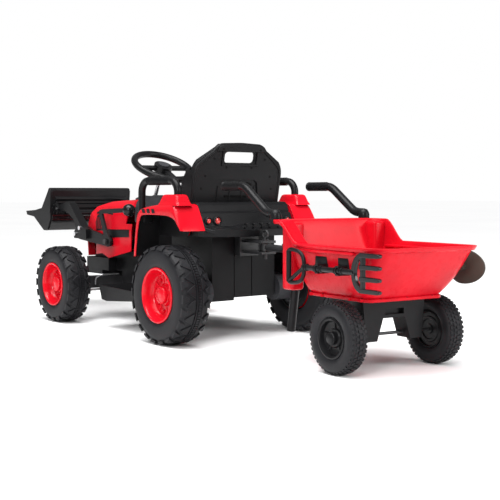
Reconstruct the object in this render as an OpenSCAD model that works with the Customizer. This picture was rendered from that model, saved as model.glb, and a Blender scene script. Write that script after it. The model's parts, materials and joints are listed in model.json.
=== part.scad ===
// Child's ride-on farm tractor with a front loader and a two-wheel cart.
// Millimetres. +X is forward, +Y is the driver's left, +Z is up and the floor is at z = 0.
// Tractor places are measured from the rear axle, cart places from the tow pin, and both
// are then moved so that the origin is under the middle of the whole train.

/* [Tractor wheels] */
// Outside diameter of a rear tyre
rear_tyre_d = 280; // [240:1:340]
// Width of a rear tyre
rear_tyre_w = 96; // [80:1:110]
// Outside diameter of a front tyre
front_tyre_d = 250; // [210:1:290]
// Width of a front tyre
front_tyre_w = 84; // [70:1:95]
// Rim diameter as seen at the rear tyre's bead
rear_rim_d = 152; // [125:1:180]
// Rim diameter as seen at the front tyre's bead
front_rim_d = 138; // [115:1:160]
// Distance between the middles of the left and right tyres
track = 490; // [470:1:600]
// Distance from the rear axle to the front axle
wheelbase = 648; // [600:1:760]
// Diameter of the steel rear axle
axle_d = 12; // [8:0.5:16]
// Diameter of the front stub axles and king pins
stub_d = 10; // [8:0.5:12]

/* [Tractor body] */
// Width of the box under the seat
box_w = 228; // [190:1:250]
// Height of the underside of that box
box_floor_z = 120; // [100:1:135]
// Width of the hood
hood_w = 224; // [190:1:236]
// Height of the top of the hood above the floor
hood_top_z = 403; // [385:1:440]
// Thickness of moulded panels
wall = 4; // [3:0.5:6]
// Height of the top of the seat back
seat_top_z = 570; // [520:1:640]
// Width of the seat back
seat_w = 322; // [280:1:334]
// Diameter of the grab rail tubes
rail_d = 22; // [16:1:26]
// Outside diameter of the steering wheel
wheel_d = 212; // [170:1:240]

/* [Loader] */
// Width of the bucket
bucket_w = 320; // [290:1:420]
// Thickness of the bucket's plates
bucket_t = 6; // [4:0.5:8]
// Width of each loader arm
arm_w = 28; // [20:1:34]
// Diameter of the loader's pivot bolts
pivot_d = 10; // [8:0.5:14]

/* [Cart] */
// Outside width of the tub at its rim
tub_w = 310; // [270:1:360]
// Length of the tub's opening side, from its front wall to its rear wall
tub_l = 385; // [330:1:460]
// Height of the rim above the floor
tub_rim_z = 301; // [280:1:340]
// Height of the tub's floor
tub_floor_z = 178; // [172:1:200]
// Diameter of a cart tyre
cart_tyre_d = 174; // [140:1:190]
// Width of a cart tyre
cart_tyre_w = 50; // [40:1:58]
// Distance between the middles of the cart's tyres
cart_track = 302; // [290:1:340]
// Distance from the tow pin to the cart's axle
cart_reach = 529; // [500:1:640]
// Diameter of the cart's axle rod
cart_axle_d = 8; // [6:0.5:12]
// Diameter of the tow pin
tow_pin_d = 10; // [8:0.5:14]
// Angle that the cart stands at behind the tractor
cart_angle = -4.6; // [-12:0.1:12]
// Diameter of the fork's and the shovel's shafts
shaft_d = 14; // [10:0.5:18]

/* [Fits] */
// Radial clearance of a running fit
run_fit = 0.05; // [0.03:0.01:0.1]
// Gap between parts that pass each other
gap = 1; // [0.5:0.1:2]

/* [Hidden] */
$fn = 48;

black = "#1d1d1f";
grey = "#4a4a4d";
red = "#cf1020";
steel = "#b9bcc0";
pale = "#c9cbd6";

// ---- places that several parts share ----
half_track = track / 2;
rear_r = rear_tyre_d / 2;
front_r = front_tyre_d / 2;
axle_r = axle_d / 2;
stub_r = stub_d / 2;

box_back_x = -20;
box_front_x = 190;
box_top_z = 300;
seat_floor_z = box_top_z + 4;

kingpin_y = half_track - front_tyre_w / 2 - 24;
beam_half = kingpin_y + 14;
knuckle_h = 30;
arm_back = 45;
tie_x = wheelbase - arm_back;
tie_z = front_r - knuckle_h / 2 - 7;

column_tilt = 27;
column_top = [414, 0, 509];
column_len = (column_top[2] - tie_z - 25) / cos(column_tilt);
crank_r = 24;
column_r = 6;

hood_rear_x = 432;
hood_front_x = 752;
hood_floor_z = 208;

lift_x = 560;
lift_z = 263;
rail_y = hood_w / 2 + 4;
rail_t = 8;
arm_y = hood_w / 2 - 5;
bucket_pin = [893, 368];
bolt_a = [766, 283];
bolt_b = [733, 304];

tow_x = -121;
tow_z = 270;
eye_h = 22;

cart_r = cart_tyre_d / 2;
cart_half = cart_track / 2;
tub_front_x = -300;
tub_rear_x = tub_front_x - tub_l;
tub_corner = 42;
shelf_x = -245;
shelf_z = tub_rim_z + 56;
shelf_end_x = -345;
tub_wall = 4;
tub_foot_front_x = tub_front_x - 62;
tub_foot_rear_x = tub_rear_x + 92;
tub_foot_w = tub_w - 84;
tool_y = tub_w / 2 + shaft_d / 2 + 8;
tool_z = 246;
clip_x = [-478, -556];

// The rim's rearmost corner sets the rear end of the train and the bucket's lip the front end.
lip_x = 1105;
corner_in = tub_corner;
rear_x = tow_x + cos(cart_angle) * (tub_rear_x + corner_in)
  - abs(sin(cart_angle)) * (tub_w / 2 - corner_in) - corner_in;
mid_x = (lip_x + rear_x) / 2;

// ---- shared geometry ----
function unit(v) = v / norm(v);
function side(a, b) = let (d = unit(b - a)) [-d[1], d[0]];
// Moves every edge of a counter-clockwise outline inwards by t.
function inset(p, t) = [
  for (i = [0:len(p) - 1])
    let (
      n1 = side(p[(i + len(p) - 1) % len(p)], p[i]),
      n2 = side(p[i], p[(i + 1) % len(p)])
    ) p[i] + (t / (1 + n1 * n2)) * (n1 + n2)
];
function arc(c, r, a0, a1, n) = [for (i = [0:n]) c + r * [cos(a0 + (a1 - a0) * i / n), sin(a0 + (a1 - a0) * i / n)]];
function box_outline(x0, x1, y, r, n = 6) = concat(
  arc([x1 - r, y - r], r, 0, 90, n), arc([x0 + r, y - r], r, 90, 180, n),
  arc([x0 + r, r - y], r, 180, 270, n), arc([x1 - r, r - y], r, 270, 360, n)
);

module on_tractor() {
  translate([-mid_x, 0, 0]) children();
}
module on_cart() {
  translate([tow_x - mid_x, 0, 0]) rotate([0, 0, cart_angle]) children();
}
// An outline in X and Z made solid between y0 and y1.
module slab(outline, y0, y1) {
  translate([0, y1, 0]) rotate([90, 0, 0]) linear_extrude(y1 - y0) polygon(outline);
}
// A round bar along Y from y0 to y1.
module bar_y(x, z, r, y0, y1) {
  translate([x, y0, z]) rotate([-90, 0, 0]) cylinder(r = r, h = y1 - y0);
}
module bar_x(y, z, r, x0, x1) {
  translate([x0, y, z]) rotate([0, 90, 0]) cylinder(r = r, h = x1 - x0);
}
// A straight round bar between two points.
module bar(a, b, r) {
  d = b - a;
  translate(a) rotate([0, acos(d[2] / norm(d)), atan2(d[1], d[0])]) cylinder(r = r, h = norm(d));
}
// A bent tube through points, with a ball at each bend.
module tube(points, r) {
  for (i = [0:len(points) - 2]) bar(points[i], points[i + 1], r);
  for (i = [1:len(points) - 2]) translate(points[i]) sphere(r = r + 0.3);
}
// A profile of [radius, distance outward] turned about a wheel's axle, outward being +Y or -Y.
module turned(x, y, z, out) {
  translate([x, y, z]) rotate([-90 * out, 0, 0]) rotate_extrude($fn = 72) children();
}
module both_sides() {
  children();
  mirror([0, 1, 0]) children();
}

// ---- tractor frame ----
module chassis() {
  tunnel = [[box_front_x - 6, 96], [470, 96], [560, 130], [700, 146], [735, 196], [735, hood_floor_z + 22],
    [480, hood_floor_z + 22], [420, 330], [395, 330], [395, 215], [box_front_x - 6, 215]];
  neck_w = 150;
  color(black) on_tractor() difference() {
    union() {
      translate([box_back_x, -box_w / 2, box_floor_z])
        cube([box_front_x - box_back_x, box_w, box_top_z - box_floor_z]);
      slab(tunnel, -neck_w / 2, neck_w / 2);
      // Carrier over the front axle
      translate([592, 8 - hood_w / 2, 150]) cube([150, hood_w - 16, hood_floor_z - 152]);
      // Lip of the left panel of the box, which hangs a little lower.
      translate([box_back_x, box_w / 2 - 80, box_floor_z - 8]) cube([60, 80, 10]);
      // Pivot bosses of the loader
      for (s = [-1, 1]) bar_y(lift_x, lift_z, 13, s > 0 ? neck_w / 2 - 4 : -hood_w / 2 + wall + gap,
        s > 0 ? hood_w / 2 - wall - gap : -neck_w / 2 + 4);
      translate([lift_x - 16, -neck_w / 2, hood_floor_z + 18]) cube([32, neck_w, lift_z - hood_floor_z - 14]);
    }
    // Cavities of the moulded shell
    translate([box_back_x + 6, 6 - box_w / 2, box_floor_z + 14]) cube([60, box_w - 12, box_top_z - box_floor_z - 26]);
    slab([[box_front_x + 4, 104], [466, 104], [544, 132], [544, 222], [478, 222], [box_front_x + 4, 208]],
      -neck_w / 2 + 5, neck_w / 2 - 5);
    translate([box_front_x + 20, -50, 80]) cube([260, 100, 60]);
    // Battery bay, open under the seat
    translate([52, -78, box_floor_z + 14]) cube([124, 156, box_top_z]);
    bar_y(0, rear_r, axle_r + run_fit, -box_w, box_w);
    // Steering shaft's way through
    translate(column_top) rotate([0, 180 - column_tilt, 0]) cylinder(r = column_r + 3, h = column_len + 60);
    // Room for the crank and the tie rod
    translate([wheelbase - 96, -neck_w, 80]) cube([84, 2 * neck_w, 84]);
    // Seat for the axle beam
    translate([wheelbase - 18, -neck_w, 80]) cube([36, 2 * neck_w, front_r - 80 + 20]);
    bar_y(lift_x, lift_z, pivot_d / 2 + run_fit, -hood_w, hood_w);
    // Grooves between the panels of the box's back
    for (y = [34, -30]) translate([box_back_x - 1, y, box_floor_z - 20]) cube([4, 3, 220]);
  }
}
module battery() {
  color(grey) on_tractor() translate([56, -74, box_floor_z + 14]) union() {
    cube([116, 148, 92]);
    for (y = [24, 116]) translate([20, y, 92]) cube([12, 8, 8]);
  }
}
module gearboxes() {
  inner = box_w / 2 + 1;
  outer = half_track - rear_tyre_w / 2 - 4;
  color(pale) on_tractor() both_sides() difference() {
    union() {
      bar_y(0, rear_r, 38, inner + 6, outer);
      bar_y(52, rear_r + 14, 27, inner + 10, outer - 8);
      translate([0, inner + 10, rear_r - 24]) cube([52, outer - inner - 22, 58]);
      bar_y(62, rear_r + 18, 18, inner, inner + 14);
      for (a = [30:60:330]) bar_y(42 * cos(a), rear_r + 42 * sin(a), 5, outer - 14, outer);
    }
    bar_y(0, rear_r, axle_r + run_fit, inner - 1, outer + 1);
  }
}
module rear_axle() {
  color(steel) on_tractor() bar_y(0, rear_r, axle_r, -half_track - 22, half_track + 22);
}
module axle_nuts() {
  color(steel) on_tractor() both_sides() difference() {
    bar_y(0, rear_r, 10, half_track + 14, half_track + 20);
    bar_y(0, rear_r, axle_r + run_fit, half_track, half_track + 30);
  }
}

// ---- seat ----
module seat() {
  pan = [[72, seat_floor_z - 4], [300, seat_floor_z - 4], [318, seat_floor_z + 4], [312, seat_floor_z + 26],
    [280, seat_floor_z + 34], [120, seat_floor_z + 26], [84, seat_floor_z + 30], [72, seat_floor_z + 60]];
  color(black) on_tractor() difference() {
    slab(pan, -seat_w / 2 + 10, seat_w / 2 - 10);
    slab([[100, seat_floor_z - 5], [292, seat_floor_z - 5], [292, seat_floor_z + 14], [100, seat_floor_z + 14]],
      -seat_w / 2 + 14, seat_w / 2 - 14);
  }
}
back_lean = 11;
back_foot = [34, 0, 399];
back_h = (seat_top_z - back_foot[2]) / cos(back_lean);
back_t = 40;
module seat_back() {
  hw = seat_w / 2;
  outline = concat([[hw, 0], [hw, back_h - 92]], arc([hw - 60, back_h - 92], 60, 12, 42, 4),
    [[86, back_h - 14], [76, back_h - 5], [0, back_h], [-76, back_h - 5], [-86, back_h - 14]],
    arc([60 - hw, back_h - 92], 60, 138, 168, 4), [[-hw, back_h - 92], [-hw, 0]]);
  grip = box_outline(back_h - 59, back_h - 26, 57, 12);
  color(black) on_tractor() translate(back_foot) rotate([0, -back_lean, 0]) difference() {
    union() {
      // Back shell, its outline drawn in Y and Z
      translate([-12, 0, 0]) rotate([90, 0, 90]) linear_extrude(14) polygon(outline);
      // Front shell with side bolsters
      for (s = [-1, 1]) translate([2, s > 0 ? hw - 34 : -hw, 0]) cube([back_t - 14, 34, back_h - 84]);
      translate([2, 34 - hw, 0]) cube([back_t - 28, seat_w - 68, back_h - 84]);
    }
    // Carrying hole
    translate([-30, 0, 0]) rotate([90, 0, 90]) linear_extrude(80) polygon([for (p = grip) [p[1], p[0]]]);
    // Recess of the lower panel
    translate([-13, 0, -1]) rotate([90, 0, 90]) linear_extrude(6)
      polygon([[-86, 0], [86, 0], [72, 60], [60, 68], [-60, 68], [-72, 60]]);
    translate([-14, -50, 50]) cube([12, 100, 7]);
  }
}

// ---- rear body ----
deck_half = 164;
module rear_deck() {
  deck = [[68, box_top_z], [68, 396], [-12, 396], [-21, 391], [-28, 370], [box_back_x, 370],
    [box_back_x, box_top_z]];
  color(black) on_tractor() difference() {
    slab(deck, -deck_half, deck_half);
    translate([box_back_x + wall, wall - deck_half, box_top_z - 1])
      cube([60, 2 * (deck_half - wall), 396 - wall - box_top_z + 1]);
  }
}
bumper_x = -100;
module rear_bumper() {
  tail = [[box_back_x, 369], [-34, 366], [-46, 330], [bumper_x, 328], [bumper_x - 4, 320],
    [bumper_x + 4, 301], [box_back_x, 301]];
  plan = [[box_back_x, deck_half], [-52, deck_half], [bumper_x - 4, 108], [bumper_x - 4, -108],
    [-52, -deck_half], [box_back_x, -deck_half]];
  color(black) on_tractor() difference() {
    intersection() {
      slab([for (i = [len(tail) - 1:-1:0]) tail[i]], -deck_half, deck_half);
      translate([0, 0, 200]) linear_extrude(300) polygon(plan);
    }
    // Dropped wings either side of the raised middle
    for (s = [-1, 1]) translate([-140, s * 132, 322]) rotate([-s * 10, 0, 0]) translate([0, -40, 0])
      cube([92, 80, 30]);
    // Notches along the middle's rear edge
    for (y = [-60:30:60]) translate([bumper_x - 5, y - 5, 322]) cube([9, 10, 10]);
    // Lamp sockets
    for (s = [-1, 1], i = [0, 1]) bar_x(s * lamp_y[i], lamp_z, lamp_r[i] + 2, -70, -34);
  }
}
lamp_y = [144, 113];
lamp_r = [8, 10];
lamp_z = 345;
module tail_lights() {
  color(red) on_tractor() for (s = [-1, 1], i = [0, 1]) bar_x(s * lamp_y[i], lamp_z, lamp_r[i], -46, -34);
}
fender_y0 = 168;
fender_y1 = 252;
module fender() {
  outer = [[172, 239], [190, 239], [171, 362], [154, 380], [60, 393], [-26, 393], [-60, 330], [-53, 328],
    [-38, 350], [-4, 359], [140, 359], [154, 340]];
  shell = [[178, 239], [190, 239], [171, 362], [154, 380], [60, 393], [-26, 393], [-64, 315], [-58, 315],
    [-22, 386], [58, 386], [150, 374], [164, 358]];
  union() {
    slab(outer, fender_y1 - 6, fender_y1);
    slab(shell, fender_y0, fender_y1);
    translate([-31, 196, 390]) cube([82, 46, 29]);
    // Boss that takes the grab rail's front foot
    translate([156, rail_y_mid - 16, 338]) cube([rail_x[1] - 140, 32, 32]);
    // Inner wall beside the seat
    slab([[168, 300], [171, 362], [154, 380], [60, 393], [-26, 393], [-50, 345], [-20, 345], [20, 300]],
      fender_y0, fender_y0 + wall);
  }
}
module fender_left() {
  color(red) on_tractor() fender_form();
}
module fender_right() {
  color(red) on_tractor() mirror([0, 1, 0]) fender_form();
}
rail_y_mid = 214;
rail_x = [4, 196];
rail_z = 459;
module fender_form() {
  difference() {
    fender();
    for (x = rail_x) translate([x, rail_y_mid, 340]) cylinder(r = rail_d / 2 + run_fit, h = 100);
  }
}
module grab_rails() {
  r = rail_d / 2;
  x0 = rail_x[0];
  x1 = rail_x[1];
  bend = 34;
  color(black) on_tractor() both_sides() translate([0, rail_y_mid, 0]) union() {
    translate([x0, 0, 372]) cylinder(r = r, h = rail_z - bend - 372);
    translate([x1, 0, 345]) cylinder(r = r, h = rail_z - bend - 345);
    bar_x(0, rail_z, r, x0 + bend, x1 - bend);
    translate([x1 - bend, 0, rail_z - bend]) rotate([90, 0, 0]) rotate_extrude(angle = 90)
      translate([bend, 0]) circle(r = r);
    translate([x0 + bend, 0, rail_z - bend]) rotate([90, 0, 0]) rotate([0, 0, 90]) rotate_extrude(angle = 90)
      translate([bend, 0]) circle(r = r);
  }
}

// ---- hood, dash and grille ----
hood_side = [[hood_rear_x + 4, hood_floor_z + 28], [576, hood_floor_z], [620, hood_floor_z + 14],
  [hood_front_x - 8, hood_floor_z], [hood_front_x, 262], [742, 318], [716, 352], [672, 378],
  [586, hood_top_z - 8], [450, hood_top_z], [hood_rear_x - 4, 366]];
module hood_form(side_outline, w, top) {
  intersection() {
    slab(side_outline, -w / 2, w / 2);
    // Cross-section with rounded shoulders and sides that lean in
    translate([400, 0, 0]) rotate([90, 0, 90]) linear_extrude(400) polygon(concat(
      [[-w / 2, 150], [w / 2, 150], [w / 2, 300]], arc([w / 2 - 46, top - 34], 34, 10, 90, 6),
      arc([46 - w / 2, top - 34], 34, 90, 170, 6), [[-w / 2, 300]]));
    // Plan that narrows to the nose
    translate([0, 0, 150]) linear_extrude(400) polygon([[400, w / 2], [400, -w / 2], [640, -w / 2],
      [hood_front_x + 2, -w / 2 + 16], [hood_front_x + 2, w / 2 - 16], [640, w / 2]]);
  }
}
tongue_half = 62;
tongue_x = 486;
module hood() {
  low = [for (p = hood_side) [p[0], p[1]]];
  inner = inset(low, wall);
  color(red) on_tractor() difference() {
    hood_form(hood_side, hood_w, hood_top_z);
    hood_form(inner, hood_w - 2 * wall, hood_top_z - wall);
    // Open underneath and to the dash
    translate([hood_rear_x + 20, -hood_w / 2 + wall, hood_floor_z - 10]) cube([290, hood_w - 2 * wall, 60]);
    translate([hood_rear_x - 20, -hood_w / 2 + wall, hood_floor_z + 20]) cube([60, hood_w - 2 * wall, 150]);
    // Way for the dash's tongue and the steering shaft
    translate([hood_rear_x - 20, -tongue_half - gap, hood_top_z - 20]) cube([tongue_x - hood_rear_x + 20 + gap,
      2 * (tongue_half + gap), 40]);
    // Nose opening for the grille
    translate([700, -71.2, 240.8]) cube([80, 142.4, 82.4]);
    bar_y(lift_x, lift_z, 14, -hood_w, hood_w);
  }
}
module grille() {
  color(red) on_tractor() translate([hood_front_x - 18, -71, 241]) union() {
    difference() {
      cube([14, 142, 82]);
      translate([-1, 8, 8]) cube([16, 126, 66]);
    }
    for (i = [0:7]) translate([2, 14 + i * 15.5, 6]) cube([9, 6, 70]);
  }
}
module dash() {
  low = [[396, 331], [hood_rear_x - 8, 331], [hood_rear_x - 8, hood_top_z + 8], [418, hood_top_z + 8],
    [394, 372]];
  tongue = [[hood_rear_x - 10, hood_top_z - 12], [tongue_x, hood_top_z - 16], [tongue_x, hood_top_z + 3],
    [446, hood_top_z + 14], [hood_rear_x - 10, hood_top_z + 10]];
  color(grey) on_tractor() difference() {
    union() {
      intersection() {
        slab(low, -hood_w / 2 + 12, hood_w / 2 - 12);
        translate([380, 0, 0]) rotate([90, 0, 90]) linear_extrude(120) polygon(concat(
          [[-100, 299], [100, 299]], arc([64, 375], 36, 0, 90, 5), arc([-64, 375], 36, 90, 180, 5)));
      }
      slab(tongue, -tongue_half, tongue_half);
    }
    translate(column_top) rotate([0, 180 - column_tilt, 0]) cylinder(r = column_r + 2, h = column_len);
    translate([402, -88, 330]) cube([40, 176, 36]);
    // Instrument recesses
    for (y = [-36, 36]) translate([452, y, hood_top_z + 4]) cylinder(r = 18, h = 20);
  }
}
pedal_pin = [328.5, 119];
module footrests() {
  tray = [[236, 98], [400, 86], [430, 90], [446, 134], [438, 136], [424, 106], [250, 112], [236, 128]];
  wall_side = [[236, 98], [400, 86], [430, 90], [446, 134], [236, 128]];
  inner = 75 + gap;
  color(black) on_tractor() difference() {
    union() {
      both_sides() slab(tray, inner, 222);
      both_sides() slab(wall_side, 217, 222);
      both_sides() translate([236, inner, 96]) cube([200, 6, 44]);
      // Ears that carry the pedal
      for (y = [-194, -121]) translate([pedal_pin[0] - 8, y, 106]) cube([16, 6, 20]);
    }
    bar_y(pedal_pin[0], pedal_pin[1], 2.5 + run_fit, -215, -100);
  }
}
module drive_pedal() {
  plate = [[330, 116], [392, 150], [389, 155], [327, 121]];
  color(grey) on_tractor() union() {
    slab(plate, -186, -122);
    bar_y(pedal_pin[0], pedal_pin[1], 5, -186, -122);
    bar_y(pedal_pin[0], pedal_pin[1], 2.5, -193, -116);
    for (i = [0:3]) slab([[342 + 12 * i, 128 + 6.6 * i], [346 + 12 * i, 130.2 + 6.6 * i],
      [345 + 12 * i, 132.4 + 6.6 * i], [341 + 12 * i, 130.2 + 6.6 * i]], -180, -128);
  }
}

// ---- front axle and steering ----
module front_axle_beam() {
  z = front_r;
  fork_gap = knuckle_h / 2 + 0.5;
  color(black) on_tractor() difference() {
    union() {
      translate([wheelbase - 17, -kingpin_y + 20, z - 20]) cube([34, 2 * kingpin_y - 40, 40]);
      for (s = [-1, 1], t = [-1, 1]) translate([wheelbase - 17, s * kingpin_y - (s > 0 ? 26 : 14),
        t > 0 ? z + fork_gap : z - fork_gap - 8]) cube([34, 40, 8]);
    }
    for (s = [-1, 1]) translate([wheelbase, s * kingpin_y, z - 60]) cylinder(r = stub_r + run_fit, h = 120);
  }
}
module kingpins() {
  color(steel) on_tractor() both_sides() translate([wheelbase, kingpin_y, front_r - 28]) union() {
    cylinder(r = stub_r, h = 56);
    translate([0, 0, 52.6]) cylinder(r = stub_r + 3, h = 4);
  }
}
module knuckle() {
  color(steel) on_tractor() difference() {
    union() {
      translate([wheelbase, kingpin_y, front_r - knuckle_h / 2]) cylinder(r = 11, h = knuckle_h);
      bar_y(wheelbase, front_r, stub_r, kingpin_y + 8, half_track + 16);
      bar_y(wheelbase, front_r, 9, kingpin_y + 8, kingpin_y + 16);
      translate([tie_x, kingpin_y - 6, front_r - knuckle_h / 2]) cube([arm_back - 6, 12, 7]);
      translate([tie_x, kingpin_y, front_r - knuckle_h / 2 - 14]) cylinder(r = 4, h = 20);
      translate([tie_x, kingpin_y, front_r - knuckle_h / 2]) cylinder(r = 6, h = 7);
    }
    translate([wheelbase, kingpin_y, front_r - 60]) cylinder(r = stub_r + run_fit, h = 120);
  }
}
module knuckle_left() {
  knuckle();
}
module knuckle_right() {
  mirror([0, 1, 0]) knuckle();
}
module tie_rod() {
  pin_x = column_foot[0] - crank_r * cos(column_tilt) + 7;
  color(steel) on_tractor() difference() {
    union() {
      bar_y(tie_x, tie_z, 4, -kingpin_y + 12, kingpin_y - 12);
      for (s = [-1, 1]) translate([tie_x, s * kingpin_y, tie_z - 3]) cylinder(r = 14, h = 6);
      translate([pin_x - 16, -18, tie_z - 3]) cube([40, 36, 6]);
    }
    for (s = [-1, 1]) translate([tie_x, s * kingpin_y, tie_z - 10]) cylinder(r = 10, h = 20);
    translate([pin_x - 10, -8, tie_z - 10]) cube([28, 16, 20]);
  }
}
column_foot = column_top + (column_len) * [sin(column_tilt), 0, -cos(column_tilt)];
module steering_shaft() {
  color(steel) on_tractor() union() {
    bar(column_top + 6 * [sin(column_tilt), 0, -cos(column_tilt)], column_foot, column_r);
    translate(column_foot) rotate([0, 180 - column_tilt, 0]) union() {
      translate([0, -6, -6]) cube([crank_r, 12, 6]);
      translate([crank_r, 0, -6]) cylinder(r = 4.5, h = 28);
      translate([0, 0, -6]) cylinder(r = 9, h = 6);
    }
  }
}
module steering_frame() {
  on_tractor() translate(column_top) rotate([0, -column_tilt, 0]) children();
}
module steering_wheel() {
  ring_r = 11;
  mean = wheel_d / 2 - ring_r;
  color(black) steering_frame() difference() {
    union() {
      rotate_extrude($fn = 72) translate([mean, 0]) circle(r = ring_r, $fn = 24);
      translate([0, 0, -16]) cylinder(r = 30, h = 22);
      for (a = [90, -90, 180]) rotate([0, 0, a]) translate([24, -9, -10]) cube([mean - 30, 18, 10]);
    }
    translate([0, 0, -30]) cylinder(r = column_r + run_fit, h = 26);
    translate([0, 0, 0]) cylinder(r = 18 + gap / 2, h = 20);
  }
}
module horn_button() {
  color(grey) steering_frame() translate([0, 0, 3]) cylinder(r = 18, h = 7);
}

// ---- tow gear ----
module tow_bracket() {
  color(black) on_tractor() difference() {
    union() {
      translate([tow_x - 16, -26, tow_z + eye_h / 2 + gap]) cube([box_back_x - tow_x + 16, 52, 7]);
      translate([tow_x - 16, -26, tow_z - eye_h / 2 - gap - 7]) cube([box_back_x - tow_x + 16, 52, 7]);
      translate([box_back_x - 26, -34, tow_z - 28]) cube([26, 68, 56]);
    }
    translate([tow_x, 0, tow_z - 60]) cylinder(r = tow_pin_d / 2 + run_fit, h = 120);
  }
}
module tow_pin() {
  r = tow_pin_d / 2;
  color(steel) on_tractor() translate([tow_x, 0, 0]) union() {
    translate([0, 0, tow_z - 34]) cylinder(r = r, h = 64);
    translate([0, 0, tow_z + eye_h / 2 + gap + 7]) cylinder(r = r + 4, h = 4);
    translate([0, 0, tow_z + 36]) rotate([90, 0, 0]) rotate_extrude($fn = 36) translate([11, 0])
      circle(r = 2.4, $fn = 16);
  }
}

// ---- wheels ----
// Hollow tyre, open at its beads.
module tyre_profile(r, w, bead, skin) {
  h = w / 2;
  shell = [[bead, -h + 8], [r * 0.82, -h], [r - 9, -h + 2], [r - 2, -h + 12], [r, -h * 0.42], [r, h * 0.42],
    [r - 2, h - 12], [r - 9, h - 2], [r * 0.82, h], [bead, h - 8]];
  difference() {
    polygon(shell);
    polygon([[bead - 1, -h + 8 + skin], [r * 0.82, -h + skin], [r - 9 - skin, -h + 2 + skin],
      [r - skin, -h * 0.42], [r - skin, h * 0.42], [r - 9 - skin, h - 2 - skin], [r * 0.82, h - skin],
      [bead - 1, h - 8 - skin]]);
  }
}
module tyre(x, side_y, r, w, rim_d) {
  s = sign(side_y);
  color(black) on_tractor() turned(x, side_y, r, s) tyre_profile(r, w, rim_d / 2 - 2, 6);
}
// Barrel, lip, dished disc and hub of a tractor wheel.
module rim_profile(rim_r, w, bore) {
  h = w / 2;
  barrel = rim_r - 2 - gap / 2;
  polygon([[bore, -h + 14], [18, -h + 14], [20, -6], [barrel - 16, -6], [barrel - 4, -20], [barrel - 4, -h + 6],
    [barrel, -h + 6], [barrel, h - 7], [rim_r + 2, h - 7], [rim_r + 2, h - 2], [rim_r - 3, h],
    [rim_r - 8, h - 2], [barrel - 8, 8], [barrel - 16, 0], [24, 0], [22, 12], [bore, 12]]);
}
module rim(x, side_y, r, w, rim_d, bore) {
  s = sign(side_y);
  color(red) on_tractor() union() {
    turned(x, side_y, r, s) rim_profile(rim_d / 2, w, bore);
    for (a = [0:45:315]) bar_y(x + rim_d * 0.27 * cos(a), r + rim_d * 0.27 * sin(a), 4.5,
      s > 0 ? side_y - 2 : side_y - 4, s > 0 ? side_y + 4 : side_y + 2);
  }
}
cap_depth = 27;
module cap(x, side_y, r) {
  s = sign(side_y);
  color(red) on_tractor() turned(x, side_y, r, s)
    polygon([[0, cap_depth], [0, cap_depth - 3], [18, cap_depth - 3], [18, 12], [22, 12],
      [22, cap_depth - 4], [19, cap_depth]]);
}
rear_y = half_track;
module rear_tyre_left() { tyre(0, rear_y, rear_r, rear_tyre_w, rear_rim_d); }
module rear_tyre_right() { tyre(0, -rear_y, rear_r, rear_tyre_w, rear_rim_d); }
module rear_rim_left() { rim(0, rear_y, rear_r, rear_tyre_w, rear_rim_d, axle_r + run_fit); }
module rear_rim_right() { rim(0, -rear_y, rear_r, rear_tyre_w, rear_rim_d, axle_r + run_fit); }
module rear_cap_left() { cap(0, rear_y, rear_r); }
module rear_cap_right() { cap(0, -rear_y, rear_r); }
module front_tyre_left() { tyre(wheelbase, rear_y, front_r, front_tyre_w, front_rim_d); }
module front_tyre_right() { tyre(wheelbase, -rear_y, front_r, front_tyre_w, front_rim_d); }
module front_rim_left() { rim(wheelbase, rear_y, front_r, front_tyre_w, front_rim_d, stub_r + run_fit); }
module front_rim_right() { rim(wheelbase, -rear_y, front_r, front_tyre_w, front_rim_d, stub_r + run_fit); }
module front_cap_left() { cap(wheelbase, rear_y, front_r); }
module front_cap_right() { cap(wheelbase, -rear_y, front_r); }

// ---- loader ----
module loader_frame() {
  neck = [[690, 268], [776, 268], [782, 286], [764, 302], [784, 334], [816, 352], [852, 362],
    [bucket_pin[0] + 2, 356], [bucket_pin[0] + 12, 368], [bucket_pin[0] + 2, 380], [826, 394], [808, 387],
    [764, 346], [728, 312], [692, 300]];
  rail = [[lift_x - 14, lift_z - 10], [lift_x, lift_z - 16], [752, 264], [776, 268], [782, 286], [750, 308],
    [690, 302], [lift_x, lift_z + 16], [lift_x - 14, lift_z + 8]];
  color(black) on_tractor() difference() {
    union() {
      both_sides() slab(neck, arm_y, arm_y + arm_w);
      both_sides() slab(rail, rail_y, rail_y + rail_t);
      // Cross tube between the arms, ahead of the hood
      bar_y(790, 354, 9, -arm_y - 1, arm_y + 1);
    }
    for (p = [bolt_a, bolt_b]) bar_y(p[0], p[1], 4 + run_fit, -200, 200);
    bar_y(bucket_pin[0], bucket_pin[1], 4 + run_fit, -200, 200);
    bar_y(lift_x, lift_z, pivot_d / 2 + run_fit, -200, 200);
  }
}
lever_y = rail_y + rail_t;
module loader_lever() {
  stem = [[lift_x - 26, lift_z - 12], [lift_x - 8, lift_z - 16], [lift_x + 18, 292], [604, 350], [604, 366],
    [590, 370], [430, 376], [430, 362], [586, 355], [lift_x + 2, 302], [lift_x - 28, lift_z + 4]];
  color(black) on_tractor() difference() {
    slab(stem, lever_y, lever_y + 8);
    bar_y(lift_x, lift_z, pivot_d / 2 + run_fit, -300, 300);
  }
}
module lever_knob() {
  color(black) on_tractor() difference() {
    translate([417, lever_y + 4, 369]) sphere(r = 20.5);
    translate([424, lever_y - 0.2, 361.5]) cube([30, 8.4, 15]);
  }
}
module loader_pivots() {
  r = pivot_d / 2;
  inner = hood_w / 2 - 60;
  color(steel) on_tractor() for (s = [-1, 1]) union() {
    far = s > 0 ? lever_y + 8 + gap : rail_y + rail_t + gap;
    bar_y(lift_x, lift_z, r, s > 0 ? inner : -far - 5, s > 0 ? far + 5 : -inner);
    bar_y(lift_x, lift_z, r + 4, s > 0 ? far : -far - 6, s > 0 ? far + 6 : -far);
  }
}
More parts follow.
